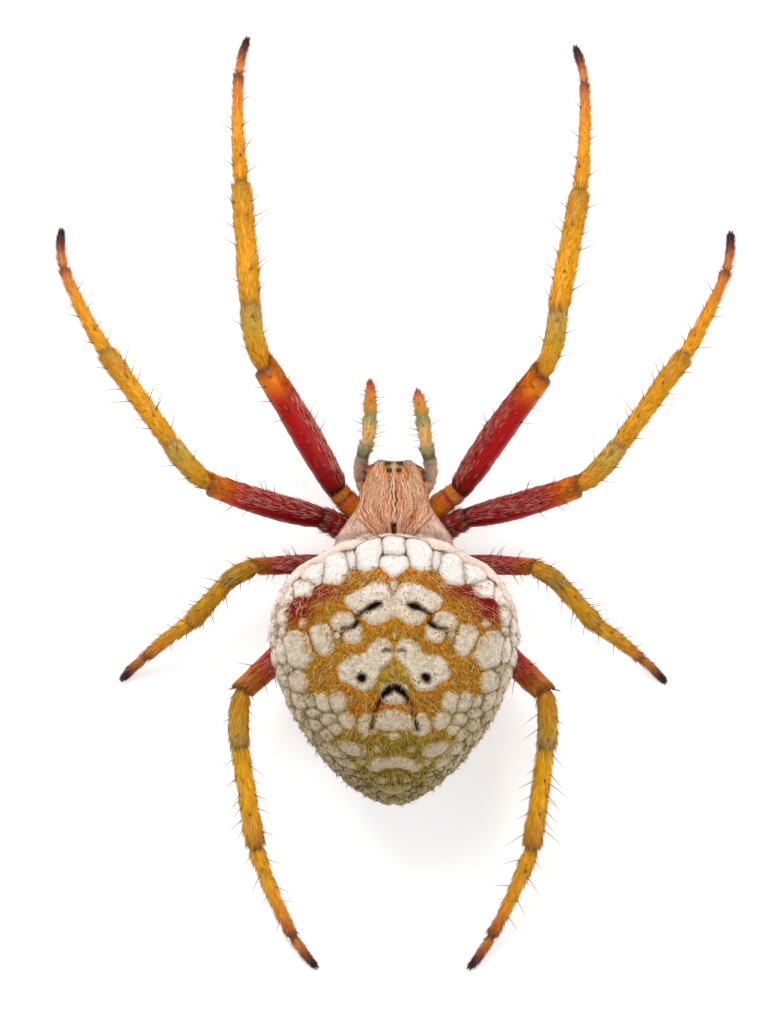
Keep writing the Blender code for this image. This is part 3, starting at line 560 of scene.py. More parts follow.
def new_mesh_object(name, points, corners, starts, material, hides=()):
    """An object at the origin from points in millimetres and faces given as corners and starts."""
    mesh = bpy.data.meshes.new(name)
    mesh.vertices.add(len(points))
    mesh.vertices.foreach_set("co", (points * MM).astype(np.float32).ravel())
    mesh.loops.add(len(corners))
    mesh.loops.foreach_set("vertex_index", corners.astype(np.int32))
    mesh.polygons.add(len(starts))
    mesh.polygons.foreach_set("loop_start", starts.astype(np.int32))
    mesh.update(calc_edges=True)
    mesh.shade_smooth()
    mesh.materials.append(shared(material))
    item = bpy.data.objects.new(name, mesh)
    bpy.context.scene.collection.objects.link(item)
    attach(item, "root")
    if hides:
        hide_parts(*hides)
    return item


def set_fields(mesh, fields):
    """Store a number, a colour or a vector for each vertex under the field's name."""
    for name, values in fields.items():
        kind, word = FIELD_KINDS.get(name, ("FLOAT_COLOR", "color"))
        flat = np.asarray(values, dtype=np.float32)
        if word == "color":
            flat = np.concatenate([flat, np.ones((len(flat), 1), np.float32)], axis=1)
        mesh.attributes.new(name, kind, "POINT").data.foreach_set(word, flat.ravel())


def ring_faces(rings, sides):
    """The points of a tube by ring, the same one place further round, and the corners of its quads."""
    index = np.arange(rings * sides).reshape(rings, sides)
    after = np.roll(index, -1, axis=1)
    quads = np.stack([index[:-1], index[1:], after[1:], after[:-1]], axis=-1)
    return index, after, quads.reshape(-1, 4)


def grid_piece(name, points, material, fields, hides=()):
    """A closed surface from rings of points, with quads between rings and a fan at each pole."""
    rings, sides = points.shape[:2]
    poles = points[[0, -1]].mean(axis=1)
    flat = np.concatenate([points.reshape(-1, 3), poles])
    index, after, quads = ring_faces(rings, sides)
    first = np.stack([index[0], after[0], np.full(sides, rings * sides)], axis=-1)
    last = np.stack([after[-1], index[-1], np.full(sides, rings * sides + 1)], axis=-1)
    fans = np.concatenate([first, last])
    middle = flat.mean(axis=0)
    corners_at = flat[quads] - middle
    facing = np.cross(corners_at[:, 1] - corners_at[:, 0], corners_at[:, 3] - corners_at[:, 0])
    if (facing * corners_at[:, 0]).sum() < 0:
        quads = quads[:, ::-1]
        fans = fans[:, ::-1]
    corners = np.concatenate([quads.ravel(), fans.ravel()])
    starts = np.concatenate([np.arange(len(quads)) * 4, len(quads) * 4 + np.arange(len(fans)) * 3])
    item = new_mesh_object(name, flat, corners, starts, material, hides)
    stored = {}
    for label, values in fields.items():
        columns = values.reshape(rings, sides, -1)
        ends = columns[[0, -1]].mean(axis=1)
        stored[label] = np.concatenate([columns.reshape(rings * sides, -1), ends])
    set_fields(item.data, stored)


def strand_piece(name, strands, material, sides=3):
    """Tapered solid strands, each carried along its own path of points from its root to its tip.

    With u from 0 to 1 along it, a strand's radius falls as (1 - u^fall)^0.6 and its colour goes from
    its root's to its tip's as u^0.7. No point goes below the floor.
    Each strand's patch of the OFBake map lies where its root is on the skin's own unwrap.
    """
    count, stations = strands.path.shape[:2]
    rings = stations - 1
    u = np.arange(rings) / rings
    along = unit(strands.path[:, -1] - strands.path[:, 0])
    helper = np.where(np.abs(along[:, 2:]) < 0.9, np.array([UP]), np.array([AHEAD]))
    side = unit(np.cross(along, helper))
    over = np.cross(side, along)
    turn = np.arange(sides) / sides * 2 * math.pi
    circle = side[:, None] * np.cos(turn)[:, None] + over[:, None] * np.sin(turn)[:, None]
    radius = strands.radius[:, None] * (1 - u[None] ** strands.fall) ** 0.6
    shell = strands.path[:, :-1, None] + radius[..., None, None] * circle[:, None]
    points = np.concatenate([shell.reshape(count, -1, 3), strands.path[:, -1:]], axis=1)
    points[..., 2] = np.maximum(points[..., 2], LOWEST)
    size = rings * sides + 1
    index, after, quads = ring_faces(rings, sides)
    tips = np.stack([index[-1], np.full(sides, size - 1), after[-1]], axis=-1).reshape(-1)
    pattern = np.concatenate([index[0], quads.ravel(), tips])
    lengths = [sides] + [4] * (rings - 1) * sides + [3] * sides
    begins = np.concatenate([[0], np.cumsum(lengths)[:-1]])
    corners = (pattern[None] + np.arange(count)[:, None] * size).ravel()
    starts = (begins[None] + np.arange(count)[:, None] * len(pattern)).ravel()
    item = new_mesh_object(name, points.reshape(-1, 3), corners, starts, material)
    shade = np.concatenate([np.repeat(u, sides), [1.0]])[None, :, None] ** 0.7
    tint = strands.root_tint[:, None] * (1 - shade) + strands.tip_tint[:, None] * shade
    set_fields(item.data, {"tint": tint.reshape(-1, 3)})
    patch = np.zeros((size, 2))
    patch[:-1] = (BAKE_PATCH / 2 * (1 - u)[:, None, None]
                  * np.stack([np.cos(turn), np.sin(turn)], axis=-1)).reshape(-1, 2)
    place = BAKE_MARGIN + (1 - 2 * BAKE_MARGIN) * strands.unwrap
    spots = (place[:, None] + patch[None]).reshape(-1, 2)
    item.data.uv_layers.new(name="OFBake").data.foreach_set("uv", spots[corners].astype(np.float32).ravel())


def curved_paths(root, bend, tip, rings):
    """Paths along quadratic curves: (1-w)²·root + 2w(1-w)·bend + w²·tip."""
    w = np.linspace(0, 1, rings + 1)[None, :, None]
    return (1 - w) ** 2 * root[:, None] + 2 * w * (1 - w) * bend[:, None] + w**2 * tip[:, None]


def scatter(skin, density, count, seed):
    """Random roots on a grid, in proportion to the density and to the area of its faces.

    A root's values are those of its face's corners, weighted by where it lies between them.
    """
    rng = np.random.default_rng(seed)
    points = skin.points
    rings, sides = points.shape[:2]
    step = points[1:] - points[:-1]
    turn = np.roll(points, -1, axis=1)[:-1] - points[:-1]
    area = np.linalg.norm(np.cross(step, turn), axis=-1)
    weight = (area * 0.5 * (density[1:] + density[:-1])).ravel()
    chosen = np.searchsorted(np.cumsum(weight) / weight.sum(), rng.random(count))
    ring, side = np.divmod(np.minimum(chosen, weight.size - 1), sides)
    u, v = rng.random(count), rng.random(count)

    def at(values):
        after = (side + 1) % sides
        shape = (count,) + (1,) * (values.ndim - 2)
        p, q = u.reshape(shape), v.reshape(shape)
        lower = values[ring, side] * (1 - q) + values[ring, after] * q
        upper = values[ring + 1, side] * (1 - q) + values[ring + 1, after] * q
        return lower * (1 - p) + upper * p

    unwrap = np.stack([(side + v) / sides, (ring + u) / (rings - 1)], axis=-1)
    return SimpleNamespace(at=at, unwrap=unwrap, rng=rng, count=count,
                           root=at(points), normal=unit(at(skin.normals)), lie=at(skin.lie))


def lay_strands(roots, length, radius, lean, stray, droop, root_tint, tip_tint, rings=2):
    """Strands that leave the skin at a lean in degrees, stray round its lie and droop back to it."""
    rng = roots.rng
    normal = roots.normal
    lie = unit(roots.lie - normal * (roots.lie * normal).sum(axis=-1, keepdims=True))
    cross = np.cross(normal, lie)
    angle = rng.normal(0, 1, roots.count)[:, None] * math.radians(stray)
    flat = lie * np.cos(angle) + cross * np.sin(angle)
    rise = np.radians(lean) * (0.7 + 0.6 * rng.random(roots.count))[:, None]
    span = (length * (0.65 + 0.7 * rng.random(roots.count)))[:, None]
    start = flat * np.cos(rise) + normal * np.sin(rise)
    root = roots.root - normal * radius * 1.5
    bend = root + start * span * 0.5
    end = flat * np.cos(rise * (1 - droop)) + normal * np.sin(rise * (1 - droop))
    tip = bend + end * span * 0.5
    shade = (0.8 + 0.4 * rng.random(roots.count))[:, None]
    return SimpleNamespace(path=curved_paths(root, bend, tip, rings), fall=1,
                           radius=radius * (0.75 + 0.5 * rng.random(roots.count)),
                           root_tint=np.clip(root_tint * shade, 0, 1),
                           tip_tint=np.clip(tip_tint * shade, 0, 1), unwrap=roots.unwrap)


class Value:
    """One number in a material, on which Python's operators add Math nodes."""

    def __init__(self, look, socket):
        self.look = look
        self.socket = socket

    def __add__(self, other):
        return self.look.math("ADD", self, other)

    def __sub__(self, other):
        return self.look.math("SUBTRACT", self, other)

    def __rsub__(self, other):
        return self.look.math("SUBTRACT", other, self)

    def __mul__(self, other):
        return self.look.math("MULTIPLY", self, other)

    def __gt__(self, other):
        return self.look.math("GREATER_THAN", self, other)

    __radd__ = __add__
    __rmul__ = __mul__

    def ease(self, low, high):
        """From 0 at low to 1 at high, eased at both ends."""
        node = self.look.node("MapRange", {"interpolation_type": "SMOOTHSTEP"},
                              {"Value": self, "From Min": low, "From Max": high})
        return Value(self.look, node.outputs["Result"])


class Look:
    """A node material made by calls that add one node each."""

    def __init__(self, name):
        self.material = bpy.data.materials.new(name)
        self.material.use_nodes = True
        self.tree = self.material.node_tree
        self.tree.nodes.clear()

    def node(self, kind, settings, sockets):
        """Add a node: its settings are set first, and then the values or links of its sockets."""
        node = self.tree.nodes.new("ShaderNode" + kind)
        for name, value in settings.items():
            setattr(node, name, value)
        for name, value in sockets.items():
            target = next(socket for socket in node.inputs if socket.identifier == name)
            if isinstance(value, Value):
                value = value.socket
            if isinstance(value, bpy.types.NodeSocket):
                self.tree.links.new(value, target)
            else:
                target.default_value = value
        return node

    def math(self, operation, first, second):
        node = self.node("Math", {"operation": operation}, {"Value": first, "Value_001": second})
        return Value(self, node.outputs["Value"])

    def field(self, name):
        """A number that the mesh holds at each vertex."""
        node = self.node("Attribute", {"attribute_name": name}, {})
        return Value(self, node.outputs["Fac"])

    def colour(self, name):
        """A colour that the mesh holds at each vertex."""
        return self.node("Attribute", {"attribute_name": name}, {}).outputs["Color"]

    def vector(self, name):
        """A vector that the mesh holds at each vertex."""
        return self.node("Attribute", {"attribute_name": name}, {}).outputs["Vector"]

    def place(self):
        """The object's own coordinates, in millimetres."""
        node = self.node("TexCoord", {}, {})
        scaled = self.node("VectorMath", {"operation": "SCALE"},
                           {"Vector": node.outputs["Object"], "Scale": 1 / MM})
        return scaled.outputs["Vector"]

    def noise(self, vector, scale, detail=3.0, roughness=0.55):
        """Noise from 0 to 1 with so many waves in a millimetre."""
        node = self.node("TexNoise", {"noise_dimensions": "3D"},
                         {"Vector": vector, "Scale": scale, "Detail": detail, "Roughness": roughness})
        return Value(self, node.outputs["Fac"])

    def specks(self, vector, scale, size, share):
        """Round specks in a share of random cells: 1 inside a speck and 0 outside."""
        node = self.node("TexVoronoi", {"feature": "F1"},
                         {"Vector": vector, "Scale": scale, "Randomness": 1.0})
        near = 1 - Value(self, node.outputs["Distance"]).ease(size * 0.6, size)
        pick = self.node("SeparateColor", {}, {"Color": node.outputs["Color"]})
        return near * (Value(self, pick.outputs["Red"]) > 1 - share)

    def mix(self, factor, first, second):
        """Two colours mixed by a factor."""
        first, second = (value if isinstance(value, bpy.types.NodeSocket) else (*value, 1.0)
                         for value in (first, second))
        node = self.node("Mix", {"data_type": "RGBA", "clamp_factor": True},
                         {"Factor_Float": factor, "A_Color": first, "B_Color": second})
        return next(output for output in node.outputs if output.identifier == "Result_Color")

    def shade(self, colour, amount):
        """A colour made lighter or darker by a number round 1."""
        node = self.node("VectorMath", {"operation": "SCALE"}, {"Vector": colour, "Scale": amount})
        return node.outputs["Vector"]

    def finish(self, colour, roughness, height=None, depth=0.0, constants=None):
        """The surface: colour, roughness, a bump of so many millimetres, and constants on the shader."""
        sockets = {"Base Color": colour, "Roughness": roughness}
        sockets.update(constants or {})
        if height is not None:
            bump = self.node("Bump", {},
                             {"Strength": 1.0, "Distance": depth * MM, "Height": height})
            sockets["Normal"] = bump.outputs["Normal"]
        surface = self.node("BsdfPrincipled", {}, sockets)
        self.node("OutputMaterial", {}, {"Surface": surface.outputs["BSDF"]})
        return self.material


def back_material(name):
    """Pale freckled pads over a hairy ground, with dark creases and black marks, and painted shade towards
    each pad's edge.
    """
    look = Look(name)
    place = look.place()
    fine = look.noise(place, 24.0, 2.0)
    broad = look.noise(place, 2.2, 3.0)
    grain = look.noise(place, 8.0, 4.0, 0.7)
    granules = look.noise(place, 12.0, 2.0, 0.6)
    clouds = look.noise(place, 5.0, 3.0, 0.6)
    edge = look.field("edge") + (fine - 0.5) * 0.040
    pad = edge.ease(-0.010, 0.055)
    # Painted shade: rim is 1 near a pad's edge, where the pad is darkened to stand in for the shade round a
    # rounded pad
    rim = 1 - edge.ease(0.05, 0.15)
    near = 1 - look.field("mark").ease(0.05, 0.50)
    mottle = (granules.ease(0.28, 0.72) - 0.5) * 0.36 + (clouds.ease(0.25, 0.75) - 0.5) * 0.44
    pad_colour = look.shade(look.colour("pad_tint"),
                            1 + mottle * look.field("mottled") + (broad - 0.5) * 0.16)
    fleck = look.specks(place, 9.0, 0.36, 0.85) * (broad.ease(0.36, 0.62) * 0.55 + near)
    pad_colour = look.mix(clouds.ease(0.50, 0.72) * 0.20, pad_colour, linear("A88C60"))
    # The painted shade at the pads' edges is mixed in here
    pad_colour = look.mix(rim * 0.24, pad_colour, linear("A08A5C"))
    pad_colour = look.mix(fleck * 0.68, pad_colour, linear("74482C"))
    ground = look.shade(look.colour("ground_tint"), 0.32 + grain.ease(0.30, 0.70) * 1.10)
    colour = look.mix(pad, ground, pad_colour)
    stain = 1 - look.field("mark").ease(-0.01, 0.11)
    colour = look.mix(stain * 0.75, colour, linear("46281A"))
    mark = 1 - (look.field("mark") + (fine - 0.5) * 0.09).ease(-0.055, 0.018)
    colour = look.mix(mark, colour, linear("0A0304"))
    height = fine * 0.5 + granules * 0.8 + grain * 0.5
    return look.finish(colour, 0.70 + mark * 0.25, height, 0.022, {"Specular IOR Level": 0.10})


def streaked_material(name, roughness, coat, depth):
    """Cuticle whose colour the mesh holds, with fine streaks and a bump along its own lie."""
    look = Look(name)
    lie = look.vector("lie")
    streak = look.noise(lie, 9.0, 4.0, 0.65)
    broad = look.noise(look.place(), 1.6, 2.0)
    colour = look.shade(look.colour("tint"), 0.46 + streak * 0.74 + broad * 0.34)
    return look.finish(colour, roughness + streak * 0.12, streak, depth,
                       {"Coat Weight": coat, "Coat Roughness": 0.25, "Specular IOR Level": 0.18})


def cuticle_material(name, roughness, coat):
    """Plain cuticle whose colour the mesh holds, mottled and finely grained."""
    look = Look(name)
    place = look.place()
    grain = look.noise(place, 14.0, 3.0)
    broad = look.noise(place, 2.4, 3.0)
    colour = look.shade(look.colour("tint"), 0.62 + broad * 0.46 + grain * 0.30)
    return look.finish(colour, roughness + grain * 0.15, grain, 0.010,
                       {"Coat Weight": coat, "Coat Roughness": 0.2})


def hair_material(name, roughness):
    """Hair whose colour the mesh holds from root to tip, uneven along its length."""
    look = Look(name)
    colour = look.shade(look.colour("tint"), 0.85 + look.noise(look.place(), 6.0, 2.0) * 0.30)
    return look.finish(colour, roughness, None, 0.0, {"Specular IOR Level": 0.12})


def eye_material(name):
    """Wet black lenses with a trace of brown."""
    look = Look(name)
    broad = look.noise(look.place(), 8.0, 2.0)
    colour = look.mix(broad.ease(0.3, 0.7), linear("0C0406"), linear("280C10"))
    return look.finish(colour, 0.12 + broad * 0.06, None, 0.0,
                       {"Coat Weight": 0.35, "Coat Roughness": 0.06, "Specular IOR Level": 0.3})


def floor_material(colour, glow):
    """A pale matt floor with a faint cloudiness and a glow of its own."""
    look = Look("studio_floor")
    cloud = look.noise(look.place(), 0.02, 2.0)
    colour = look.mix(cloud * 0.02, colour, tuple(part * 0.9 for part in colour))
    constants = {"Emission Color": (1.0, 1.0, 1.0, 1.0), "Emission Strength": glow}
    return look.finish(colour, 0.9, None, 0.0, constants)


# How each material is made, with its roughness, then its coat, then the depth of its bump
MATERIALS = {
    "abdomen_pads_and_ground": (back_material,),
    "leg_cuticle": (streaked_material, 0.34, 0.06, 0.010),
    "carapace_cuticle": (streaked_material, 0.42, 0.12, 0.016),
    "soft_cuticle": (cuticle_material, 0.42, 0.15),
    "jaw_cuticle": (cuticle_material, 0.30, 0.15),
    "setae": (hair_material, 0.50),
    "spines": (hair_material, 0.30),
    "eye_lens": (eye_material,),
}


def shared(name):
    """A material by name, made on its first use."""
    maker, *values = MATERIALS[name]
    return bpy.data.materials.get(name) or maker(name, *values)


def plan_frame(place, angle):
    """A point of the abdomen with its directions round the body, along it and outwards."""
    step = 1e-3
    here = body_points(ABDOMEN, place, angle)
    round_it = unit(body_points(ABDOMEN, place, angle + step) - here)
    along = unit(body_points(ABDOMEN, place + step, angle) - here)
    outward = unit(np.cross(along, round_it))
    return here, round_it, np.cross(round_it, outward), outward


def plan_angle(across, along):
    """The angle round the abdomen of the point of its back that is seen at a place from above."""
    place = (along - ABDOMEN["front"]) / ABDOMEN["length"]
    half = body_section(ABDOMEN, place)[0]
    return place, np.arcsin(np.clip(across / half, -0.985, 0.985))


def pad_depth(points, pad):
    """How deep points lie inside a pad, in millimetres: (1 - r) times the pad's smaller half size.

    r is (|u/a|^p + |v/b|^p)^(1/p) in the plane that touches the body at the pad's middle, where a
    and b are the half sizes seen from above, each widened by the plane's slope.
    """
    place, angle, half_width, half_length, turn, power = pad
    here, round_it, along, outward = plan_frame(place, angle)
    offset = points - here
    u, v, w = offset @ round_it, offset @ along, offset @ outward
    turn = math.radians(turn) * (1 if angle >= 0 else -1)
    x = u * math.cos(turn) + v * math.sin(turn)
    y = v * math.cos(turn) - u * math.sin(turn)
    reach = 2 * max(half_width, half_length)
    r = (np.abs(x / half_width) ** power + np.abs(y / half_length) ** power
         + np.abs(w / reach) ** power) ** (1 / power)
    return (1 - r) * min(half_width, half_length)


def segment_gap(across, along, start, end):
    """The distance from places to a segment, and the part of it at which its nearest point lies."""
    x0, y0 = start[:2]
    dx, dy = end[0] - x0, end[1] - y0
    t = np.clip(((across - x0) * dx + (along - y0) * dy) / (dx * dx + dy * dy), 0, 1)
    return np.hypot(across - x0 - t * dx, along - y0 - t * dy), t


def outline_depth(across, along, outline):
    """How deep places seen from above lie inside an outline: the distance to its nearest edge."""
    corners = np.array(outline)
    nearest = np.full(across.shape, np.inf)
    inside = np.zeros(across.shape, dtype=bool)
    for start, end in zip(corners, np.roll(corners, -1, axis=0)):
        nearest = np.minimum(nearest, segment_gap(across, along, start, end)[0])
        dx, dy = end - start
        crosses = (start[1] > along) != (end[1] > along)
        inside ^= crosses & (across < start[0] + (along - start[1]) * dx / (dy if dy else 1e-9))
    return np.where(inside, nearest, -nearest)


def stroke_distance(across, along, stroke):
    """The distance to a stroke's edge: to its nearest segment, less the half width there."""
    nearest = np.full(across.shape, np.inf)
    for start, end in zip(stroke, stroke[1:]):
        gap, t = segment_gap(across, along, start, end)
        nearest = np.minimum(nearest, gap - (start[2] + (end[2] - start[2]) * t))
    return nearest


def placed_pads():
    """The pads of the left half by their place and angle on the body, with sizes on its surface."""
    placed = []
    for across, along, half_width, half_length, turn, power in PADS:
        place, angle = plan_angle(across, along)
        _, round_it, lengthwise, _ = plan_frame(place, angle)
        wide = half_width / max(math.hypot(round_it[0], round_it[1]), 0.35)
        long = half_length / max(math.hypot(lengthwise[0], lengthwise[1]), 0.45)
        placed.append((place, float(angle), wide, long, turn, power))
    return placed


def paving_pads(placed, seed):
    """Small pads that pave the margin and flanks, thrown at random no closer than their size."""
    rng = np.random.default_rng(seed)
    taken = [plan_frame(pad[0], pad[1])[0] for pad in placed]
    sizes = [0.8 * min(pad[2], pad[3]) for pad in placed]
    paving = []
    for place, angle, tilt, scale in rng.random((PAVING_TRIES, 4)):
        angle *= PAVED_DOWN_TO
        size = (0.290 - 0.110 * ease(0.52, 0.85, place)) * (0.80 + 0.40 * scale)
        here = body_points(ABDOMEN, place, angle)
        border = between(PAVED_FROM, here[1])
        on_rim = here[1] < between(FRONT_RIM, here[0]) + 0.03
        if place < 0.03 or (angle < 1.75 and here[0] < border) or (angle < RIM_DOWN_TO and on_rim):
            continue
        away = np.linalg.norm(np.array(taken) - here, axis=1)
        if (away < np.array(sizes) + size * 0.86).any():
            continue
        taken.append(here)
        sizes.append(size * 0.86)
        paving.append((place, angle, size * 1.24, size * 1.30, 60 * tilt - 30, 2.4))
    return paving


def abdomen_skin(body):
    """The abdomen's surface with its pads raised, and the fields that its material reads.

    The depth inside the nearest pad and the second nearest give each pad's edge: the smaller of the
    first and half their difference. The skin rises over that edge by an eased step. Where pads are
    close set they grow until only a thin crease is left between them.
    """
    points, _, angle = body_rings(ABDOMEN, body.abdomen_rings, body.abdomen_sides)
    normals = grid_normals(points)
    warped = points + 0.035 * np.stack([noise(points, 0.22, seed) for seed in (1, 2, 3)], axis=-1)
    mirrored = warped * np.where(points[..., :1] < 0, np.array([-1.0, 1.0, 1.0]), 1.0)
    placed = placed_pads()
    depths = [pad_depth(mirrored, pad) for pad in placed + paving_pads(placed, body.paving_seed)]
    across, along = np.abs(warped[..., 0]), warped[..., 1]
    below = np.where(normals[..., 2] < 0.05, 9.0, 0.0)
    whole = [half + tuple((-x, y) for x, y in half[-2:0:-1]) for half in MIDDLE_OUTLINES]
    depths += [outline_depth(warped[..., 0], along, outline) - below for outline in whole]
    depths += [np.minimum(outline_depth(across, along, outline), across) - below
               for outline in SIDE_OUTLINES]
    rim = between(FRONT_RIM, across) - along - 9 * ease(0, 0.1, np.abs(angle) - RIM_DOWN_TO)
    ordered = np.sort(np.stack([rim] + [np.minimum(depth, -rim) for depth in depths]), axis=0)
    best, second, third = ordered[-1], ordered[-2], ordered[-3]
    border = between(CLOSE_SET_FROM, points[..., 1])
    close_set = ease(-0.04, 0.08, np.abs(points[..., 0]) - border)
    on_flank = ease(PAVED_DOWN_TO + 0.05, PAVED_DOWN_TO - 0.1, np.abs(angle))
    close_set = np.where(np.abs(angle) > 1.6, on_flank, close_set)
    growth = 0.03 + 0.12 * close_set
    edge = np.minimum(best + growth, np.hypot((best - second) / 2, 0.016))
    edge = edge - 0.03 * bell((best, third, 0.12))
    marks = np.stack([stroke_distance(across, along, stroke) for stroke in MARKS]).min(axis=0) + below
    on_pad = ease(0.0, 0.16, edge)
    raised = on_pad * (body.pad_height / MM + 0.014 * noise(points, 0.13, 7))
    raised = raised - 0.03 * ease(0.02, -0.03, marks)
    rough = 0.010 * noise(points, 0.12, 5) + 0.025 * noise(points, 0.7, 6)
    skin = points + normals * (raised + rough - body.skin_depth / MM)[..., None]
    pad_tint, ground_tint = abdomen_tints(points, normals, best + growth, second + growth, rim)
    outwards = 0.55 * np.clip(points[..., 0] / 1.5, -1, 1)
    lie = np.stack([outwards, np.ones_like(outwards), -0.1 * np.ones_like(outwards)], axis=-1)
    return SimpleNamespace(points=skin, normals=grid_normals(skin), lie=lie, edge=edge, mark=marks,
                           close_set=close_set, pad_tint=pad_tint, ground_tint=ground_tint, flat=points)


def red_corner(points):
    """How red the ground is at a point: bells at the back's front corners and behind its front row."""
    across, along = np.abs(points[..., 0]), points[..., 1]
    corner = bell((across, 3.15, 0.54), (along, 3.20, 0.66))
    corner += 0.80 * bell((across, 2.40, 0.75), (along, 2.78, 0.24))
    return np.clip(corner * 1.25, 0, 1)


def abdomen_tints(points, normals, best, second, rim):
    """The colours of the pads and of the ground between them, by place on the abdomen."""
    across, along = np.abs(points[..., 0]), points[..., 1]
    back = ease(-0.25, 0.25, normals[..., 2])
    flank = ease(2.4, 3.2, across - 0.75 * ease(2.8, 3.6, along)) * (1 - ease(4.2, 6.4, along))
    pad = washed(linear("E6DFDA"), (
        ("CDBDA6", ease(2.1, 3.4, along)),
        ("C2B296", ease(5.6, 7.6, along)),
        ("A2926A", ease(8.0, 9.3, along)),
        ("F2E2D8", flank * 0.9),
        ("E8D6C8", ease(-0.03, 0.05, rim)),
    ))
    pad = blend(linear("B4A07E"), pad, 0.35 + 0.65 * back)
    ground = washed(linear("C06E10"), (
        ("BE740A", ease(2.1, 2.8, along)),
        ("B07008", ease(3.8, 4.3, along) * (1 - ease(0.3, 1.4, across))),
        ("AA8A20", ease(4.9, 5.3, along) * (1 - ease(0.3, 0.8, across))),
        ("B6660C", ease(5.9, 6.4, along) * (1 - ease(7.0, 7.4, along))),
        ("907412", ease(7.2, 7.6, along)),
        ("58461A", ease(8.3, 9.2, along)),
        ("C4500E", bell((across, 1.90, 0.48), (along, 2.63, 0.20)) * 0.8),
        ("7E0E0A", red_corner(points)),
    ))
    patch = bell((across, 1.15, 0.35)) * ease(5.0, 5.6, along) * ease(8.3, 7.4, along)
    venter = washed(linear("4E3A1E"), (("2A1C10", bell((across, 0, 0.8))), ("B89A58", patch * 0.85)))
    ground = blend(ground, venter, ease(0.15, -0.45, normals[..., 2]))
    crease = ease(-0.10, 0.0, second) * ease(-0.05, 0.01, best)
    line = washed(linear("4C2A1C"), (
        ("A4946E", ease(2.9, 3.8, across)),
        ("D8BCA4", ease(0.14, 0.05, np.abs(rim)) * ease(1.4, 2.1, across)),
        ("8A7C48", ease(5.0, 6.6, along)),
        ("5C5018", ease(7.6, 9.0, along)),
    ))
    return pad, blend(ground, line, crease * 0.90)


def head_height(across, along):
    """The height of the carapace above a point of the head."""
    place = (along - CARAPACE["front"]) / CARAPACE["length"]
    half, top, middle, _ = body_section(CARAPACE, place)
    part = np.minimum(np.abs(across) / half, 0.999) ** (1 / CARAPACE["squareness"])
    return middle + (top - middle) * np.sqrt(1 - part**2)


def carapace_skin(body):
    """The head and thorax with the pit of the fovea, the furrows from it and the eyes' mounds.

    The solid's surface moves along its normals by a sum: down by a bell across the midline for the
    pit and by one on each side of it for the grooves, down by a high power of a cosine of the
    heading from the pit for the furrows, and up by a bell at each eye and by fine ridges of noise.
    """
    points, place, angle = body_rings(CARAPACE, rings=190, sides=168, top_part=0.80)
    normals = grid_normals(points)
    across, along = points[..., 0], points[..., 1]
    aside = np.abs(across)
    top = ease(0.0, 0.5, normals[..., 2])
    pit = bell((across, 0, 0.03 + 0.11 * ease(0.58, 0.94, along)))
    pit *= ease(0.52, 0.64, along) * ease(1.15, 0.95, along)
    groove = bell((aside, MIDLINE_GROOVE, 0.026))
    groove *= ease(-0.95, -0.5, along) * ease(0.9, 0.6, along)
    heading = np.arctan2(aside, along - 0.75)
    away = np.hypot(across, along - 0.75)
    spokes = np.cos(heading * 7.0) ** 8 * ease(0.25, 0.6, away) * ease(0.35, 0.8, along)
    mound = sum(np.exp(-((aside - x) ** 2 + (along - y) ** 2) / (1.9 * radius) ** 2)
                for radius, x, y in EYES.values())
    streamline = across / smooth_rows(STREAM_WIDTHS, along)[..., 0]
    ridges = np.abs(noise(np.stack([streamline, along * 0.12, points[..., 2] * 0.3], axis=-1), 0.09, 8))
    height = -0.13 * pit - 0.05 * groove - 0.05 * spokes + 0.045 * mound + 0.022 * ridges
    skin = points + normals * ((height - body.skin_depth / MM) * (0.3 + 0.7 * top))[..., None]
    rims = sum(np.exp(-(((aside - x) ** 2 + (along - y) ** 2) / (1.1 * radius) ** 2) ** 2)
               for radius, x, y in EYES.values())
    rims += np.exp(-(((aside - 0.94) / 0.05) ** 2 + ((along + 0.91) / 0.15) ** 2) ** 2)
    tint = washed(linear("A25420"), (
        ("BC7236", ease(-0.6, 0.6, noise(points, 0.35, 4))),
        ("B89468", head_olive(across, along)),
        ("F2CEBA", ease(0.95, 1.45, np.abs(streamline)) * ease(-0.4, 0.4, along)),
        ("C46E24", bell((aside, 1.02, 0.20), (along, 0.31, 0.36)) * 0.7),
        ("B49C44", bell((across, 0, 0.24), (along, -1.24, 0.15))),
        ("3A140A", np.clip(rims, 0, 1) * 0.85),
        ("6E1E0A", np.clip(pit * 1.3 + groove * 0.9 + spokes * 0.2, 0, 1)),
    ))
    tint = blend(linear("9A5A38"), tint, 0.2 + 0.8 * top)
    brow = ease(0.50, 0.20, normals[..., 2]) * ease(-0.45, -0.75, along)
    tint = blend(tint, linear("5E2414"), brow * 0.9)
    lie = np.stack([-0.42 * across * ease(-0.2, 0.9, along),
                    np.ones_like(across), np.zeros_like(across)], axis=-1)
    coordinates = np.stack([streamline, along * 0.10, points[..., 2] * 0.4], axis=-1)
    return SimpleNamespace(points=skin, normals=grid_normals(skin), lie=lie, tint=tint, place=place,
                           angle=angle, coordinates=coordinates, pit=pit, groove=groove)


def head_olive(across, along):
    """How beige the head is: two long bells beside its middle."""
    return 0.8 * bell((np.abs(across), 0.68, 0.22), (along, -0.40, 0.50))


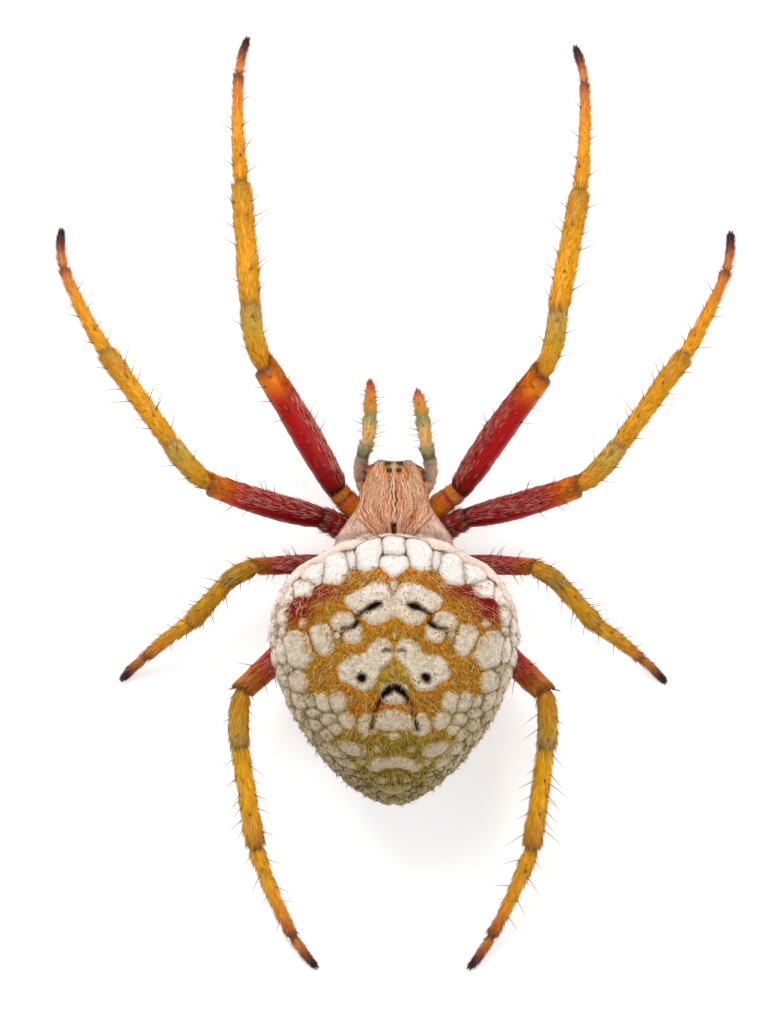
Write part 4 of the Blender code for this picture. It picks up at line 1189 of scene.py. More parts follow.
def head_strands(skin, coat):
    """Long wavy strands that follow the head's surface from front to rear along its streamlines.

    A strand keeps its lane s, so that it stands at s times the stream's width, swayed by a sine of
    the distance along, and lies a little over the carapace with both its ends sunk into it.
    """
    rng = np.random.default_rng(22)
    count = coat.head_strands
    lane = np.round(rng.uniform(-1.34, 1.34, count) / LANE_SPACING) * LANE_SPACING
    lane = lane + rng.normal(0, 0.018, count)
    start = rng.uniform(-1.40, 0.70, count)
    end = np.minimum(start + rng.uniform(0.5, 1.3, count), np.where(np.abs(lane) < 0.18, 0.66, 1.30))
    u = np.linspace(0, 1, 15)[None]
    along = start[:, None] + (end - start)[:, None] * u
    phase = 3.0 * noise(np.stack([lane * 2.0, 0 * lane, 0 * lane], axis=-1), 1.0, 5)
    phase = phase + rng.normal(0, 0.6, count)
    wave = rng.uniform(0.30, 0.46, count)[:, None]
    swing = coat.strand_sway / MM * rng.uniform(0.6, 1.5, count)[:, None]
    sway = swing * np.sin(along * math.tau / wave + phase[:, None])
    across = lane[:, None] * smooth_rows(STREAM_WIDTHS, along)[..., 0] + sway
    place = (along - CARAPACE["front"]) / CARAPACE["length"]
    half = body_section(CARAPACE, place)[0]
    across = np.sign(across) * np.minimum(np.abs(across), half * rng.uniform(0.84, 0.97, count)[:, None])
    inside = (np.abs(across) < 0.975 * half).all(axis=1) & (end - start > 0.35)
    inside &= np.abs(np.abs(lane) - MIDLINE_GROOVE) > 0.022
    for radius, x, y in EYES.values():
        inside &= (np.hypot(np.abs(across) - x, along - y) > radius * 1.05).all(axis=1)
    lane, along, across, place, half = (values[inside] for values in (lane, along, across, place, half))
    count = len(lane)
    lift = rng.uniform(-0.012, 0.030, count)[:, None] * np.ones_like(u) - 0.05 * (2 * u - 1) ** 12 - 0.015
    path = np.stack([across, along, head_height(across, along) + lift], axis=-1)
    sine = np.clip(across[:, 0] / half[:, 0], -1, 1)
    turned = np.arcsin(np.sign(sine) * np.abs(sine) ** (1 / CARAPACE["squareness"]))
    sides, rings = len(skin.angle), len(skin.place)
    unwrap = np.stack([np.interp(turned, skin.angle, np.arange(sides) / sides),
                       np.interp(place[:, 0], skin.place, np.linspace(0, 1, rings))], axis=-1)
    pick = rng.random(count)
    tone = blend(one_tone("FFDCC8", count), linear("F4B080"), pick * 1.8)
    tone = np.where(pick[:, None] > 0.56, linear("E0904A"), tone)
    tone = np.where(pick[:, None] > 0.78, linear("B05A1E"), tone)
    tone = blend(tone, linear("E0C496"), head_olive(across.mean(axis=1), along.mean(axis=1)) * 0.8)
    tone = blend(tone, linear("FFD4B4"), (np.abs(lane) < MIDLINE_GROOVE) * 0.8)
    shade = (0.70 + 0.42 * rng.random(count))[:, None]
    radius = coat.strand_radius / MM * (0.7 + 0.6 * rng.random(count))
    return SimpleNamespace(path=path, fall=4, radius=radius, unwrap=unwrap,
                           root_tint=np.clip(tone * shade * 0.9, 0, 1),
                           tip_tint=np.clip(tone * shade, 0, 1))


def leg_joints(pair, side):
    """The joints of a leg from its root to its foot."""
    shape = LEG_PAIRS[pair]
    turns = np.radians(LEG_HEADINGS[side][pair])
    steps = np.array(shape["spans"])[:, None] * np.stack([np.sin(turns), -np.cos(turns)], axis=-1)
    hip = np.array(shape["hip"]) + (HIP_SHIFTS[side].get(pair, 0.0), 0.0)
    plan = np.concatenate([[shape["root"], hip], hip + np.cumsum(steps, axis=0)])
    plan[:, 0] *= SIDES[side]
    return np.column_stack([plan, shape["heights"]])


def smooth_path(points, width):
    """A path evened out and rounded: each point is a bell-weighted mean of its neighbours."""
    reach = int(width * 3)
    weights = np.exp(-0.5 * (np.arange(-reach, reach + 1) / width) ** 2)
    weights /= weights.sum()
    lead = 2 * points[:1] - points[reach:0:-1]
    trail = 2 * points[-1:] - points[-2:-reach - 2:-1]
    padded = np.concatenate([lead, points, trail])
    return np.stack([np.convolve(column, weights, "valid") for column in padded.T], axis=-1)


def jointed_tube(joints, names, radii, shapes, tints, bows, mirror, sides, per_mm, seed, lobes=(0, 0)):
    """A limb's skin: rings along its smoothed path, with its radius and colour segment by segment.

    The femur's end reaches over the joint by the two lobes, the first on the front and the second
    on the rear, each falling round the limb as the square of a cosine.
    """
    lengths = np.linalg.norm(np.diff(joints, axis=0), axis=1)
    counts = np.maximum((lengths * per_mm).astype(int), 8)
    path, radius, tint, owner, part = [], [], [], [], []
    for index, name in enumerate(names):
        last = index == len(names) - 1
        t = np.linspace(0, 1, counts[index], endpoint=last)
        step = joints[index + 1] - joints[index]
        outward = np.array([-step[1], step[0], 0.0])
        outward *= 1 if outward[0] * mirror >= 0 else -1
        path.append(joints[index] + step * t[:, None] + outward * (bows[index] * 4 * t * (1 - t))[:, None])
        radius.append(smooth_rows(shapes[name], t)[:, 0] * radii[index])
        rows = [(place, *linear(code)) for place, code in tints[name]]
        tint.append(smooth_rows(rows, t))
        owner.append(np.full(len(t), index))
        part.append(t)
    path, radius, tint, owner, part = (np.concatenate(item) for item in (path, radius, tint, owner, part))
    path = smooth_path(path, per_mm * 0.075)
    radius = smooth_path(radius[:, None], per_mm * 0.022)[:, 0]
    angles = ring_angles(sides)
    points = tube_points(path, radius, angles)
    length = np.concatenate([[0], np.cumsum(np.linalg.norm(np.diff(path, axis=0), axis=1))])
    normals = grid_normals(points)
    along = np.repeat(unit(np.gradient(path, axis=0))[:, None], sides, axis=1)
    facing = np.cos(angles - mirror * math.pi / 2)
    lobe = lobes[0] * np.clip(facing, 0, 1) ** 2 + lobes[1] * np.clip(-facing, 0, 1) ** 2
    reach = np.where(owner == 1, ease(0.91, 0.985, part), 0.0)[:, None] * lobe[None]
    points = points + along * reach[..., None]
    lumps = 0.010 * noise(points, 0.16, seed) + 0.012 * noise(points, 0.5, seed + 1)
    points = points + normals * lumps[..., None] * ease(0.0, 0.12, radius)[:, None, None]
    points[..., 2] = np.maximum(points[..., 2], LOWEST)
    around = np.stack([np.cos(angles), np.sin(angles)], axis=-1)
    coordinates = np.concatenate([np.repeat(around[None] * 0.30, len(path), axis=0),
                                  np.repeat(length[:, None, None] * 0.10, sides, axis=1)], axis=-1)
    return SimpleNamespace(points=points, normals=grid_normals(points), lie=along, radius=radius,
                           tint=np.repeat(tint[:, None], sides, axis=1), owner=owner, part=part,
                           angles=angles, coordinates=coordinates, path=path, length=length, names=names)


def leg_skin(pair, side):
    """One leg's skin from its coxa to its foot."""
    shape = LEG_PAIRS[pair]
    tints = {**(FRONT_TINTS if pair < 3 else REAR_TINTS), **PAIR_TINTS.get(pair, {})}
    shapes = {**SEGMENT_SHAPES, **FRONT_SHAPES.get(pair, {})}
    joints = leg_joints(pair, side)
    joints[0] += (joints[0] - joints[1]) * 0.25
    return jointed_tube(joints, SEGMENTS, shape["radii"], shapes, tints, shape["bows"], SIDES[side],
                        sides=32, per_mm=24, seed=10 * pair + SIDES[side], lobes=FEMUR_LOBES)


def palp_skin(side):
    """One palp's skin from its base to its tip."""
    joints = np.array([(SIDES[side] * x, y, z) for (x, y), z in zip(PALPS[side], PALP_HEIGHTS)])
    return jointed_tube(joints, PALP_SEGMENTS, PALP_RADII, PALP_SHAPES, PALP_TINTS,
                        (0.0, 0.04, 0.0, 0.0, 0.0), SIDES[side], sides=28, per_mm=40,
                        seed=60 + SIDES[side])


def limb_spines(skin, rows, lengths, scale, mirror, seed):
    """Where a limb's spines stand: one each at an angle and a part of a segment, a little astray."""
    rng = np.random.default_rng(seed)
    rings, angles, sizes = [], [], []
    for index, name in enumerate(skin.names):
        ours = np.flatnonzero(skin.owner == index)
        for angle, parts in rows.get(name, {}).items():
            for part in parts:
                part = part + rng.normal(0, 0.018)
                rings.append(ours[min(int(part * len(ours)), len(ours) - 1)])
                angles.append(math.radians(angle + rng.normal(0, 7)) * mirror)
                sizes.append(lengths[name] * scale * (0.65 + 0.6 * rng.random()))
    return np.array(rings), np.array(angles), np.array(sizes)


def spine_strands(skin, rings, angles, sizes, lean, radius, seed):
    """Spines as strands: they leave the skin at a lean from its own direction and bow a little."""
    rng = np.random.default_rng(seed)
    along, side, over = path_frames(skin.path, UP)
    outward = side[rings] * np.sin(angles)[:, None] + over[rings] * np.cos(angles)[:, None]
    tilt = np.radians(lean + rng.normal(0, 6, len(rings)))[:, None]
    root = skin.path[rings] + outward * (skin.radius[rings, None] - radius)
    start = outward * np.sin(tilt) + along[rings] * np.cos(tilt)
    later = outward * np.sin(tilt * 0.8) + along[rings] * np.cos(tilt * 0.8)
    bend = root + start * sizes[:, None] * 0.5
    count = len(rings)
    unwrap = np.stack([(angles / (2 * math.pi) + 0.5) % 1.0, rings / len(skin.path)], axis=-1)
    return SimpleNamespace(path=curved_paths(root, bend, bend + later * sizes[:, None] * 0.5, 5), fall=1,
                           radius=np.full(count, radius), unwrap=unwrap,
                           root_tint=one_tone("2A0E0A", count), tip_tint=one_tone("E0B8A8", count))


def spine_spots(skin, rings, angles, size):
    """How near each point of a limb's skin is to a spine's root: 1 at the root, falling off."""
    spot = np.zeros(skin.points.shape[:2])
    for ring, angle in zip(rings, angles):
        nearby = slice(max(ring - 6, 0), ring + 7)
        gap = np.abs((skin.angles - angle + math.pi) % (2 * math.pi) - math.pi) * skin.radius[ring]
        step = skin.length[nearby] - skin.length[ring]
        spot[nearby] = np.maximum(spot[nearby], np.exp(-(step[:, None] ** 2 + gap[None] ** 2) / size**2))
    return spot


def limb_piece(name, skin, spots, material, hides):
    """A limb's skin as a piece, dark round the roots of its spines."""
    tint = blend(skin.tint, linear("2E1408"), spots * 0.85)
    fields = {"tint": tint, "lie": skin.coordinates}
    grid_piece(name, skin.points, material, fields, hides)


def leg_coat(skin, pair, mirror, coat):
    """A leg's setae: pale pink along one side of the femur, golden beyond, dark at the foot."""
    sides = skin.points.shape[1]
    owner = skin.owner[:, None] + np.zeros((1, sides))
    part = skin.part[:, None] + np.zeros((1, sides))
    lit, pale_density = PALE_SETAE[pair]
    facing = np.cos(skin.angles - mirror * math.radians(lit))[None]
    band = ease(0.50, 0.90, facing + (0.25 * part if pair == 2 else 0))
    femur = 0.04 + pale_density * band
    density = np.select([owner == 0, owner == 1, owner == 5], [0.45, femur, 1.3], 0.9)
    density = density * ease(0.0, 0.02, skin.length / skin.length[-1])[:, None]
    roots = scatter(skin, density, coat.leg_hairs, 100 + 10 * pair + mirror)
    where = roots.at(owner + part)
    base = roots.at(skin.tint)
    pick = roots.rng.random(roots.count)
    light = washed(one_tone("F2C040", roots.count), (
        ("FFB0A0", ease(2.02, 1.85, where)),
        ("E08A18", ease(1.70, 1.82, where) * ease(2.06, 2.0, where) * 0.9),
        ("DCA088", ease(1.0, 0.9, where) * 0.8),
        ("E8C484", ease(2.3, 2.6, where) * ease(3.05, 2.95, where) * 0.6),
        ("F0A070", ease(4.5, 4.9, where) * 0.7),
    ))
    tone = washed(blend(base * 0.88, light, ease(0.15, 0.95, pick)), (
        ("2E0E0A", ease(5.25, 5.8, where) * 0.8),
        ("7A3A1C", ease(4.86, 4.92, where) * ease(5.04, 5.0, where) * 0.5),
    ))
    length = np.interp(where, (0, 1, 2, 3, 4, 5, 6), (0.26, 0.32, 0.28, 0.32, 0.28, 0.24, 0.14))
    lean = np.interp(where, (0, 1, 2, 4, 5, 6), (16, 11, 18, 22, 27, 28))[:, None]
    return lay_strands(roots, length, coat.hair_radius / MM, lean, 8.0, 0.6, tone, tone)


class StageSettings(bpy.types.PropertyGroup):
    """Floor, lights and camera."""

    floor_half: bpy.props.FloatProperty(
        name="Floor half size", description="From the middle of the floor to its edge",
        default=1.2, min=0.1, unit="LENGTH")
    floor_colour: bpy.props.FloatVectorProperty(
        name="Floor colour", description="The pale floor that the spider stands on",
        default=(0.80, 0.80, 0.80), min=0, max=1, subtype="COLOR")
    floor_glow: bpy.props.FloatProperty(
        name="Floor glow", description="Light that the floor gives of itself, as a light table does",
        default=0.47, min=0)
    key_power: bpy.props.FloatProperty(
        name="Key power", description="The large soft light ahead of the spider",
        default=2.2, min=0, unit="POWER")
    fill_power: bpy.props.FloatProperty(
        name="Fill power", description="The soft light behind and to the side",
        default=0.7, min=0, unit="POWER")
    sky: bpy.props.FloatProperty(
        name="Sky", description="The even white light from all sides", default=0.50, min=0)
    lens: bpy.props.FloatProperty(
        name="Lens", description="The camera's focal length in millimetres", default=1000.0, min=1)
    frame_height: bpy.props.FloatProperty(
        name="Frame height", description="What the camera sees from top to bottom, at the body",
        default=33.25 * MM, min=MM, unit="LENGTH", precision=5)
    frame_middle: bpy.props.FloatVectorProperty(
        name="Frame middle", description="The point at the middle of the picture",
        default=(0.065 * MM, 0.26 * MM, 3.0 * MM), unit="LENGTH", subtype="XYZ", precision=5)


class BodySettings(bpy.types.PropertyGroup):
    """Sizes of the body's skins."""

    skin_depth: bpy.props.FloatProperty(
        name="Skin depth", description="How far a skin lies inside its solid",
        default=0.045 * MM, min=0, unit="LENGTH", precision=6)
    pad_height: bpy.props.FloatProperty(
        name="Pad height", description="How far the pale pads stand over the ground",
        default=0.075 * MM, min=0, unit="LENGTH", precision=6)
    abdomen_rings: bpy.props.IntProperty(
        name="Abdomen rings", description="Rings of points along the abdomen", default=268, min=20)
    abdomen_sides: bpy.props.IntProperty(
        name="Abdomen sides", description="Points round each ring of the abdomen", default=370, min=20)
    paving_seed: bpy.props.IntProperty(
        name="Paving seed", description="Where the small pads of the margin fall", default=7, min=0)


class CoatSettings(bpy.types.PropertyGroup):
    """Numbers and sizes of the setae."""

    leg_hairs: bpy.props.IntProperty(
        name="Leg hairs", description="Setae on each leg", default=5200, min=1)
    back_hairs: bpy.props.IntProperty(
        name="Abdomen hairs", description="Setae on the abdomen", default=11000, min=1)
    head_hairs: bpy.props.IntProperty(
        name="Head hairs", description="Short setae on the carapace", default=3200, min=1)
    head_strands: bpy.props.IntProperty(
        name="Head strands", description="Long wavy strands on the carapace", default=1900, min=1)
    strand_radius: bpy.props.FloatProperty(
        name="Strand radius", description="Half the thickness of a long strand of the carapace",
        default=0.0105 * MM, min=0, unit="LENGTH", precision=6)
    strand_sway: bpy.props.FloatProperty(
        name="Strand sway", description="How far a long strand sways to each side",
        default=0.024 * MM, min=0, unit="LENGTH", precision=6)
    palp_hairs: bpy.props.IntProperty(
        name="Palp hairs", description="Setae on each palp", default=1100, min=1)
    hair_radius: bpy.props.FloatProperty(
        name="Hair radius", description="Half the thickness of a seta at its root",
        default=0.0080 * MM, min=0, unit="LENGTH", precision=6)
    spine_radius: bpy.props.FloatProperty(
        name="Spine radius", description="Half the thickness of a spine at its root",
        default=0.016 * MM, min=0, unit="LENGTH", precision=6)


def area_light(name, place, size, power):
    """A square soft light that points at the origin and is itself unseen."""
    data = bpy.data.lights.new(name, "AREA")
    data.shape = "SQUARE"
    data.size = size
    data.energy = power
    item = bpy.data.objects.new(name, data)
    item.location = place
    item.rotation_euler = (-Vector(place)).to_track_quat("-Z", "Y").to_euler()
    item.visible_camera = False
    bpy.context.scene.collection.objects.link(item)


class SPIDER_OT_stage(bpy.types.Operator):
    """Add the pale floor, the soft lights and the camera that looks straight down"""

    bl_idname = "spider.stage"
    bl_label = "Stage"

    def execute(self, context):
        stage = context.scene.spider_stage
        half = stage.floor_half
        mesh = bpy.data.meshes.new("studio_floor")
        mesh.from_pydata([(-half, -half, 0), (half, -half, 0), (half, half, 0), (-half, half, 0)], [],
                         [(0, 1, 2, 3)])
        mesh.materials.append(floor_material(tuple(stage.floor_colour), stage.floor_glow))
        floor = bpy.data.objects.new("studio_floor", mesh)
        context.scene.collection.objects.link(floor)
        area_light("key_light", place=(0.10, -0.34, 0.40), size=0.30, power=stage.key_power)
        area_light("fill_light", place=(-0.36, 0.22, 0.34), size=0.36, power=stage.fill_power)
        world = bpy.data.worlds.new("studio_sky")
        world.use_nodes = True
        world.node_tree.nodes["Background"].inputs["Color"].default_value = (1, 1, 1, 1)
        world.node_tree.nodes["Background"].inputs["Strength"].default_value = stage.sky
        context.scene.world = world
        data = bpy.data.cameras.new("camera")
        data.lens = stage.lens
        data.sensor_width = 36.0
        distance = stage.frame_height * stage.lens / data.sensor_width
        data.clip_start = distance / 10
        data.clip_end = distance * 10
        camera = bpy.data.objects.new("camera", data)
        middle = Vector(stage.frame_middle)
        camera.location = middle + Vector((0, 0, distance))
        camera.rotation_euler = (0, 0, math.pi)
        context.scene.collection.objects.link(camera)
        context.scene.camera = camera
        context.scene.view_settings.view_transform = "Standard"
        return {"FINISHED"}


class SPIDER_OT_carapace(bpy.types.Operator):
    """Add the skin of the head and thorax, with the soft flanks under its rim"""

    bl_idname = "spider.carapace"
    bl_label = "Carapace"

    def execute(self, context):
        skin = carapace_skin(context.scene.spider_body)
        fields = {"tint": skin.tint, "lie": skin.coordinates}
        grid_piece("carapace_skin", skin.points, "carapace_cuticle", fields, ("carapace",))
        points, _, _ = body_rings(PLEURA, rings=70, sides=64, top_part=1.0)
        tint = blend(linear("8A6048"), linear("5E3A26"), ease(-0.5, 0.5, noise(points, 0.3, 3)))
        grid_piece("pleura_skin", points, "soft_cuticle", {"tint": tint})
        return {"FINISHED"}


class SPIDER_OT_eyes(bpy.types.Operator):
    """Add the eight eyes, each a glossy ball sunk in its mound"""

    bl_idname = "spider.eyes"
    bl_label = "Eyes"

    def execute(self, context):
        polar = np.linspace(0.03, math.pi - 0.03, 22)[:, None]
        turn = ring_angles(32)[None]
        ball = np.stack([np.sin(polar) * np.cos(turn), np.sin(polar) * np.sin(turn),
                         np.cos(polar) + 0 * turn], axis=-1)
        for name, (radius, across, along) in EYES.items():
            height = float(head_height(np.array(across), np.array(along)))
            for side, mirror in SIDES.items():
                centre = np.array([mirror * across, along, height - radius * 0.35])
                node = f"eye_{name}_{side}"
                grid_piece(f"{node}_lens", centre + ball * radius, "eye_lens", {}, (node,))
        return {"FINISHED"}


def path_piece(name, rows, mirror, material, tints, up, hides=(), sides=40, rings=48, flatten=1.0):
    """A tube carried along a smooth path through rows of x, y, z and radius, with colours along it.

    Both ends are rounded: the radius is drawn in by the square root of a circle's fall at each.
    """
    table = np.array(rows, dtype=float)
    table[:, 0] *= mirror
    knots = np.linspace(0, 1, len(table))
    place = (1 - np.cos(np.pi * np.linspace(0, 1, rings))) / 2
    values = smooth_rows(np.column_stack([knots, table]), place)
    path = values[:, :3]
    round_off = np.sqrt(np.clip(1 - (1 - np.minimum(place, 1 - place) / 0.07).clip(0, 1) ** 2, 0.02, 1))
    points = tube_points(path, values[:, 3] * round_off, ring_angles(sides), up)
    centre = path[:, None]
    points = centre + (points - centre) * np.array([1.0, 1.0, flatten])
    points = points + grid_normals(points) * (0.012 * noise(points, 0.2, 9))[..., None]
    stops = [(part, *linear(code)) for part, code in tints]
    tint = np.repeat(smooth_rows(stops, place)[:, None], sides, axis=1)
    grid_piece(name, points, material, {"tint": tint}, hides)
    return SimpleNamespace(points=points, normals=grid_normals(points),
                           lie=np.repeat(unit(np.gradient(path, axis=0))[:, None], sides, axis=1))


def plain_setae(name, skin, density, count, seed, code, length, radius, lean, stray):
    """Setae of one colour on a piece."""
    roots = scatter(skin, density, count, seed)
    tone = one_tone(code, roots.count)
    strands = lay_strands(roots, length, radius, lean, stray, 0.5, tone, tone)
    strand_piece(name, strands, "setae")


class SPIDER_OT_mouthparts(bpy.types.Operator):
    """Add the jaws, fangs, maxillae and lip under the head"""

    bl_idname = "spider.mouthparts"
    bl_label = "Mouthparts"

    def execute(self, context):
        coat = context.scene.spider_coat
        for side, mirror in SIDES.items():
            jaw_skin = path_piece(f"chelicera_{side}_skin", JAW_PATH, mirror, "jaw_cuticle",
                                  JAW_TINTS, AHEAD, (f"chelicera_{side}",))
            path_piece(f"fang_{side}_skin", FANG_PATH, mirror, "jaw_cuticle", FANG_TINTS, AHEAD,
                       (f"fang_{side}",), sides=24)
            lobe_skin = path_piece(f"maxilla_{side}_skin", MAXILLA_PATH, mirror,
                                   "soft_cuticle", MAXILLA_TINTS, UP, (f"maxilla_{side}",))
            for slot, form in (("chelicera", jaw_skin), ("maxilla", lobe_skin)):
                plain_setae(f"{slot}_{side}_setae", form, np.ones(form.points.shape[:2]), 420,
                            300 + mirror + len(slot), "5A3A22", length=0.14,
                            radius=coat.hair_radius / MM * 0.8, lean=24.0, stray=12.0)
        path_piece("labium_skin", LABIUM_PATH, 1, "soft_cuticle", LABIUM_TINTS, UP)
        return {"FINISHED"}


class SPIDER_OT_underside(bpy.types.Operator):
    """Add the sternum, the pedicel, the spinnerets and the scape of the epigyne"""

    bl_idname = "spider.underside"
    bl_label = "Underside"

    def execute(self, context):
        coat = context.scene.spider_coat
        points, _, _ = body_rings(STERNUM, rings=90, sides=96, top_part=1.0)
        normals = grid_normals(points)
        bumps = 0.015 * noise(points, 0.25, 12) - 0.03
        points = points + normals * bumps[..., None]
        tint = blend(linear("2E170C"), linear("7A4A20"), bell((points[..., 0], 0, 0.30)) * 0.7)
        fields = {"tint": tint}
        grid_piece("sternum_skin", points, "soft_cuticle", fields, ("sternum",))
        lie = np.zeros_like(points) + np.array(AHEAD)
        skin = SimpleNamespace(points=points, normals=normals, lie=lie)
        plain_setae("sternum_setae", skin, ease(0.2, -0.2, normals[..., 2]) + 0.02, 900, 31,
                    "9A7A50", length=0.22, radius=coat.hair_radius / MM, lean=34.0, stray=25.0)
        path_piece("pedicel_skin", PEDICEL_PATH, 1, "soft_cuticle", PEDICEL_TINTS, UP,
                   ("pedicel",))
        path_piece("epigyne_scape", SCAPE_PATH, 1, "jaw_cuticle", SCAPE_TINTS, AHEAD,
                   flatten=0.9)
        self.add_spinnerets(coat)
        return {"FINISHED"}

    def add_spinnerets(self, coat):
        """A low collar and six cones, the pair in front and the pair behind longer than the middle."""
        x, y, z = SPINNERET_ROOT
        collar = ((x, y, z + 0.15, 0.54), (x, y - 0.02, z, 0.54), (x, y - 0.04, z - 0.12, 0.50),
                  (x, y - 0.04, z - 0.24, 0.40))
        path_piece("spinneret_collar", collar, 1, "soft_cuticle", COLLAR_TINTS, AHEAD,
                   ("spinnerets",))
        for number, (turn, length) in enumerate(SPINNERETS):
            out_x, out_y = math.cos(math.radians(turn)), math.sin(math.radians(turn))
            start = np.array([x + 0.24 * out_x, y + 0.03 + 0.24 * out_y, z - 0.10])
            rows = ((*start, 0.17),
                    (start[0] + 0.03 * out_x, start[1] + 0.07, z - 0.10 - length * 0.5, 0.155),
                    (start[0] - 0.03 * out_x, start[1] + 0.13, z - 0.10 - length, 0.07))
            name = f"spinneret_{number + 1}"
            skin = path_piece(name, rows, 1, "soft_cuticle", CONE_TINTS, AHEAD, sides=28)
            plain_setae(f"{name}_setae", skin, np.ones(skin.points.shape[:2]), 150, 400 + number,
                        "8A6A40", length=0.16, radius=coat.hair_radius / MM * 0.8,
                        lean=28.0, stray=10.0)


class SPIDER_OT_abdomen(bpy.types.Operator):
    """Add the abdomen's skin with its raised pads, and the setae on it"""

    bl_idname = "spider.abdomen"
    bl_label = "Abdomen"

    def execute(self, context):
        skin = abdomen_skin(context.scene.spider_body)
        coat = context.scene.spider_coat
        fields = {
            "edge": skin.edge,
            "mark": skin.mark,
            "mottled": 0.30 + 0.70 * ease(1.9, 3.0, skin.flat[..., 1]),
            "pad_tint": skin.pad_tint,
            "ground_tint": skin.ground_tint,
        }
        grid_piece("abdomen_skin", skin.points, "abdomen_pads_and_ground", fields,
                   ("abdomen",))
        self.add_coat(skin, coat)
        return {"FINISHED"}

    def add_coat(self, skin, coat):
        """Golden setae on the ground and finer ones on the flanks, and long curved ones over both."""
        on_pad = ease(0.01, 0.11, skin.edge)
        back = ease(0.0, 0.5, skin.normals[..., 2])
        across, along = np.abs(skin.flat[..., 0]), skin.flat[..., 1]
        behind = along - between(FRONT_RIM, across)
        bare = np.minimum(ease(0.12, 0.40, behind), ease(1.9, 2.25, along))
        density = (1 - on_pad) * (0.07 + 0.93 * back * (0.12 + 0.88 * bare)) * (1 - 0.7 * skin.close_set)
        density = density + 0.03 * on_pad * (1 - back)
        clear = np.maximum(ease(0.02, 0.09, skin.mark), 0.35 * ease(6.05, 6.3, along))
        roots = scatter(skin, density * clear, coat.back_hairs, 21)
        ground = roots.at(skin.ground_tint)
        pale = washed(one_tone("F6C450", roots.count), (
            ("D8442E", red_corner(roots.root)),
            ("DCC458", ease(7.0, 8.0, roots.root[:, 1]) * 0.6),
        ))
        pick = roots.rng.random(roots.count)
        share = np.where(pick < 0.5, 1.1 * pick, 0.75 + 0.25 * pick) * (0.35 + 0.65 * roots.at(back))
        tone = blend(ground * 0.75, pale, share * (1 - 0.85 * roots.at(skin.close_set)))
        strands = lay_strands(roots, 0.25, coat.hair_radius / MM * 1.5, 22.0, 38.0, 0.6,
                              tone * 0.6, tone * 1.1)
        strand_piece("abdomen_setae", strands, "setae")
        away = np.maximum(ease(0.12, 0.25, skin.mark), ease(5.95, 6.2, along))
        near_front = 0.25 + ease(2.9, 2.2, skin.points[..., 1]) + red_corner(skin.points)
        density = (1 - on_pad) * back * near_front + 0.25 * back * ease(0.20, 0.10, skin.mark)
        density = density * (0.2 + 0.8 * bare) * clear * (1 - 0.7 * skin.close_set) * away
        roots = scatter(skin, density, 420, 24)
        cream = blend(one_tone("F4D8B0", roots.count), linear("FFB498"), red_corner(roots.root))
        strands = lay_strands(roots, 0.40, coat.hair_radius / MM * 1.1, 26.0, 42.0, 0.9, cream, cream, 4)
        strand_piece("abdomen_long_setae", strands, "setae")


class SPIDER_OT_legs(bpy.types.Operator):
    """Add the eight legs' skins, with their spines, claws and setae"""

    bl_idname = "spider.legs"
    bl_label = "Legs"

    def execute(self, context):
        coat = context.scene.spider_coat
        for pair, (side, mirror) in itertools.product(LEG_PAIRS, SIDES.items()):
            skin = leg_skin(pair, side)
            seed = 500 + 10 * pair + mirror
            scale = LEG_PAIRS[pair]["spine_scale"]
            spines = limb_spines(skin, SPINE_ROWS, SPINE_LENGTHS, scale, mirror, seed)
            spots = spine_spots(skin, spines[0], spines[1], 0.055)
            name = f"leg_{pair}_{side}"
            hides = [f"{name}_{label}" for label in NODE_LABELS]
            limb_piece(f"{name}_skin", skin, spots, "leg_cuticle", hides)
            strands = spine_strands(skin, *spines, 60.0, coat.spine_radius / MM, seed)
            strand_piece(f"{name}_spines", strands, "spines", sides=6)
            strand_piece(f"{name}_setae", leg_coat(skin, pair, mirror, coat), "setae")
            self.add_claws(name, leg_joints(pair, side))
        return {"FINISHED"}

    def add_claws(self, name, joints):
        """Two curved claws that reach down to the floor, with a small third between them."""
        along = unit(joints[-1] - joints[-2])
        flat = unit(along * np.array([1.0, 1.0, 0.0]))
        side = np.array([-flat[1], flat[0], 0.0])
        root = joints[-1] - flat * 0.06 + np.array([0, 0, 0.05])
        rows = np.array([(-1.0, 0.17), (1.0, 0.17), (0.0, 0.10)])
        spread, length = rows[:, :1], rows[:, 1:]
        start = root + side * spread * 0.032
        bend = start + (flat + side * spread * 0.16) * length * 0.6 + np.array([0, 0, 0.035])
        tip = start + (flat + side * spread * 0.20) * length
        tip[:, 2] = 0.012
        count = len(rows)
        tone = one_tone("140A08", count)
        unwrap = np.column_stack([0.25 * np.arange(count) + 0.2, np.full(count, 0.5)])
        strands = SimpleNamespace(path=curved_paths(start, bend, tip, 10), fall=1, unwrap=unwrap,
                                  root_tint=tone, tip_tint=tone * 1.6,
                                  radius=np.array([0.034, 0.034, 0.022]))
        strand_piece(f"{name}_claws", strands, "spines", sides=10)


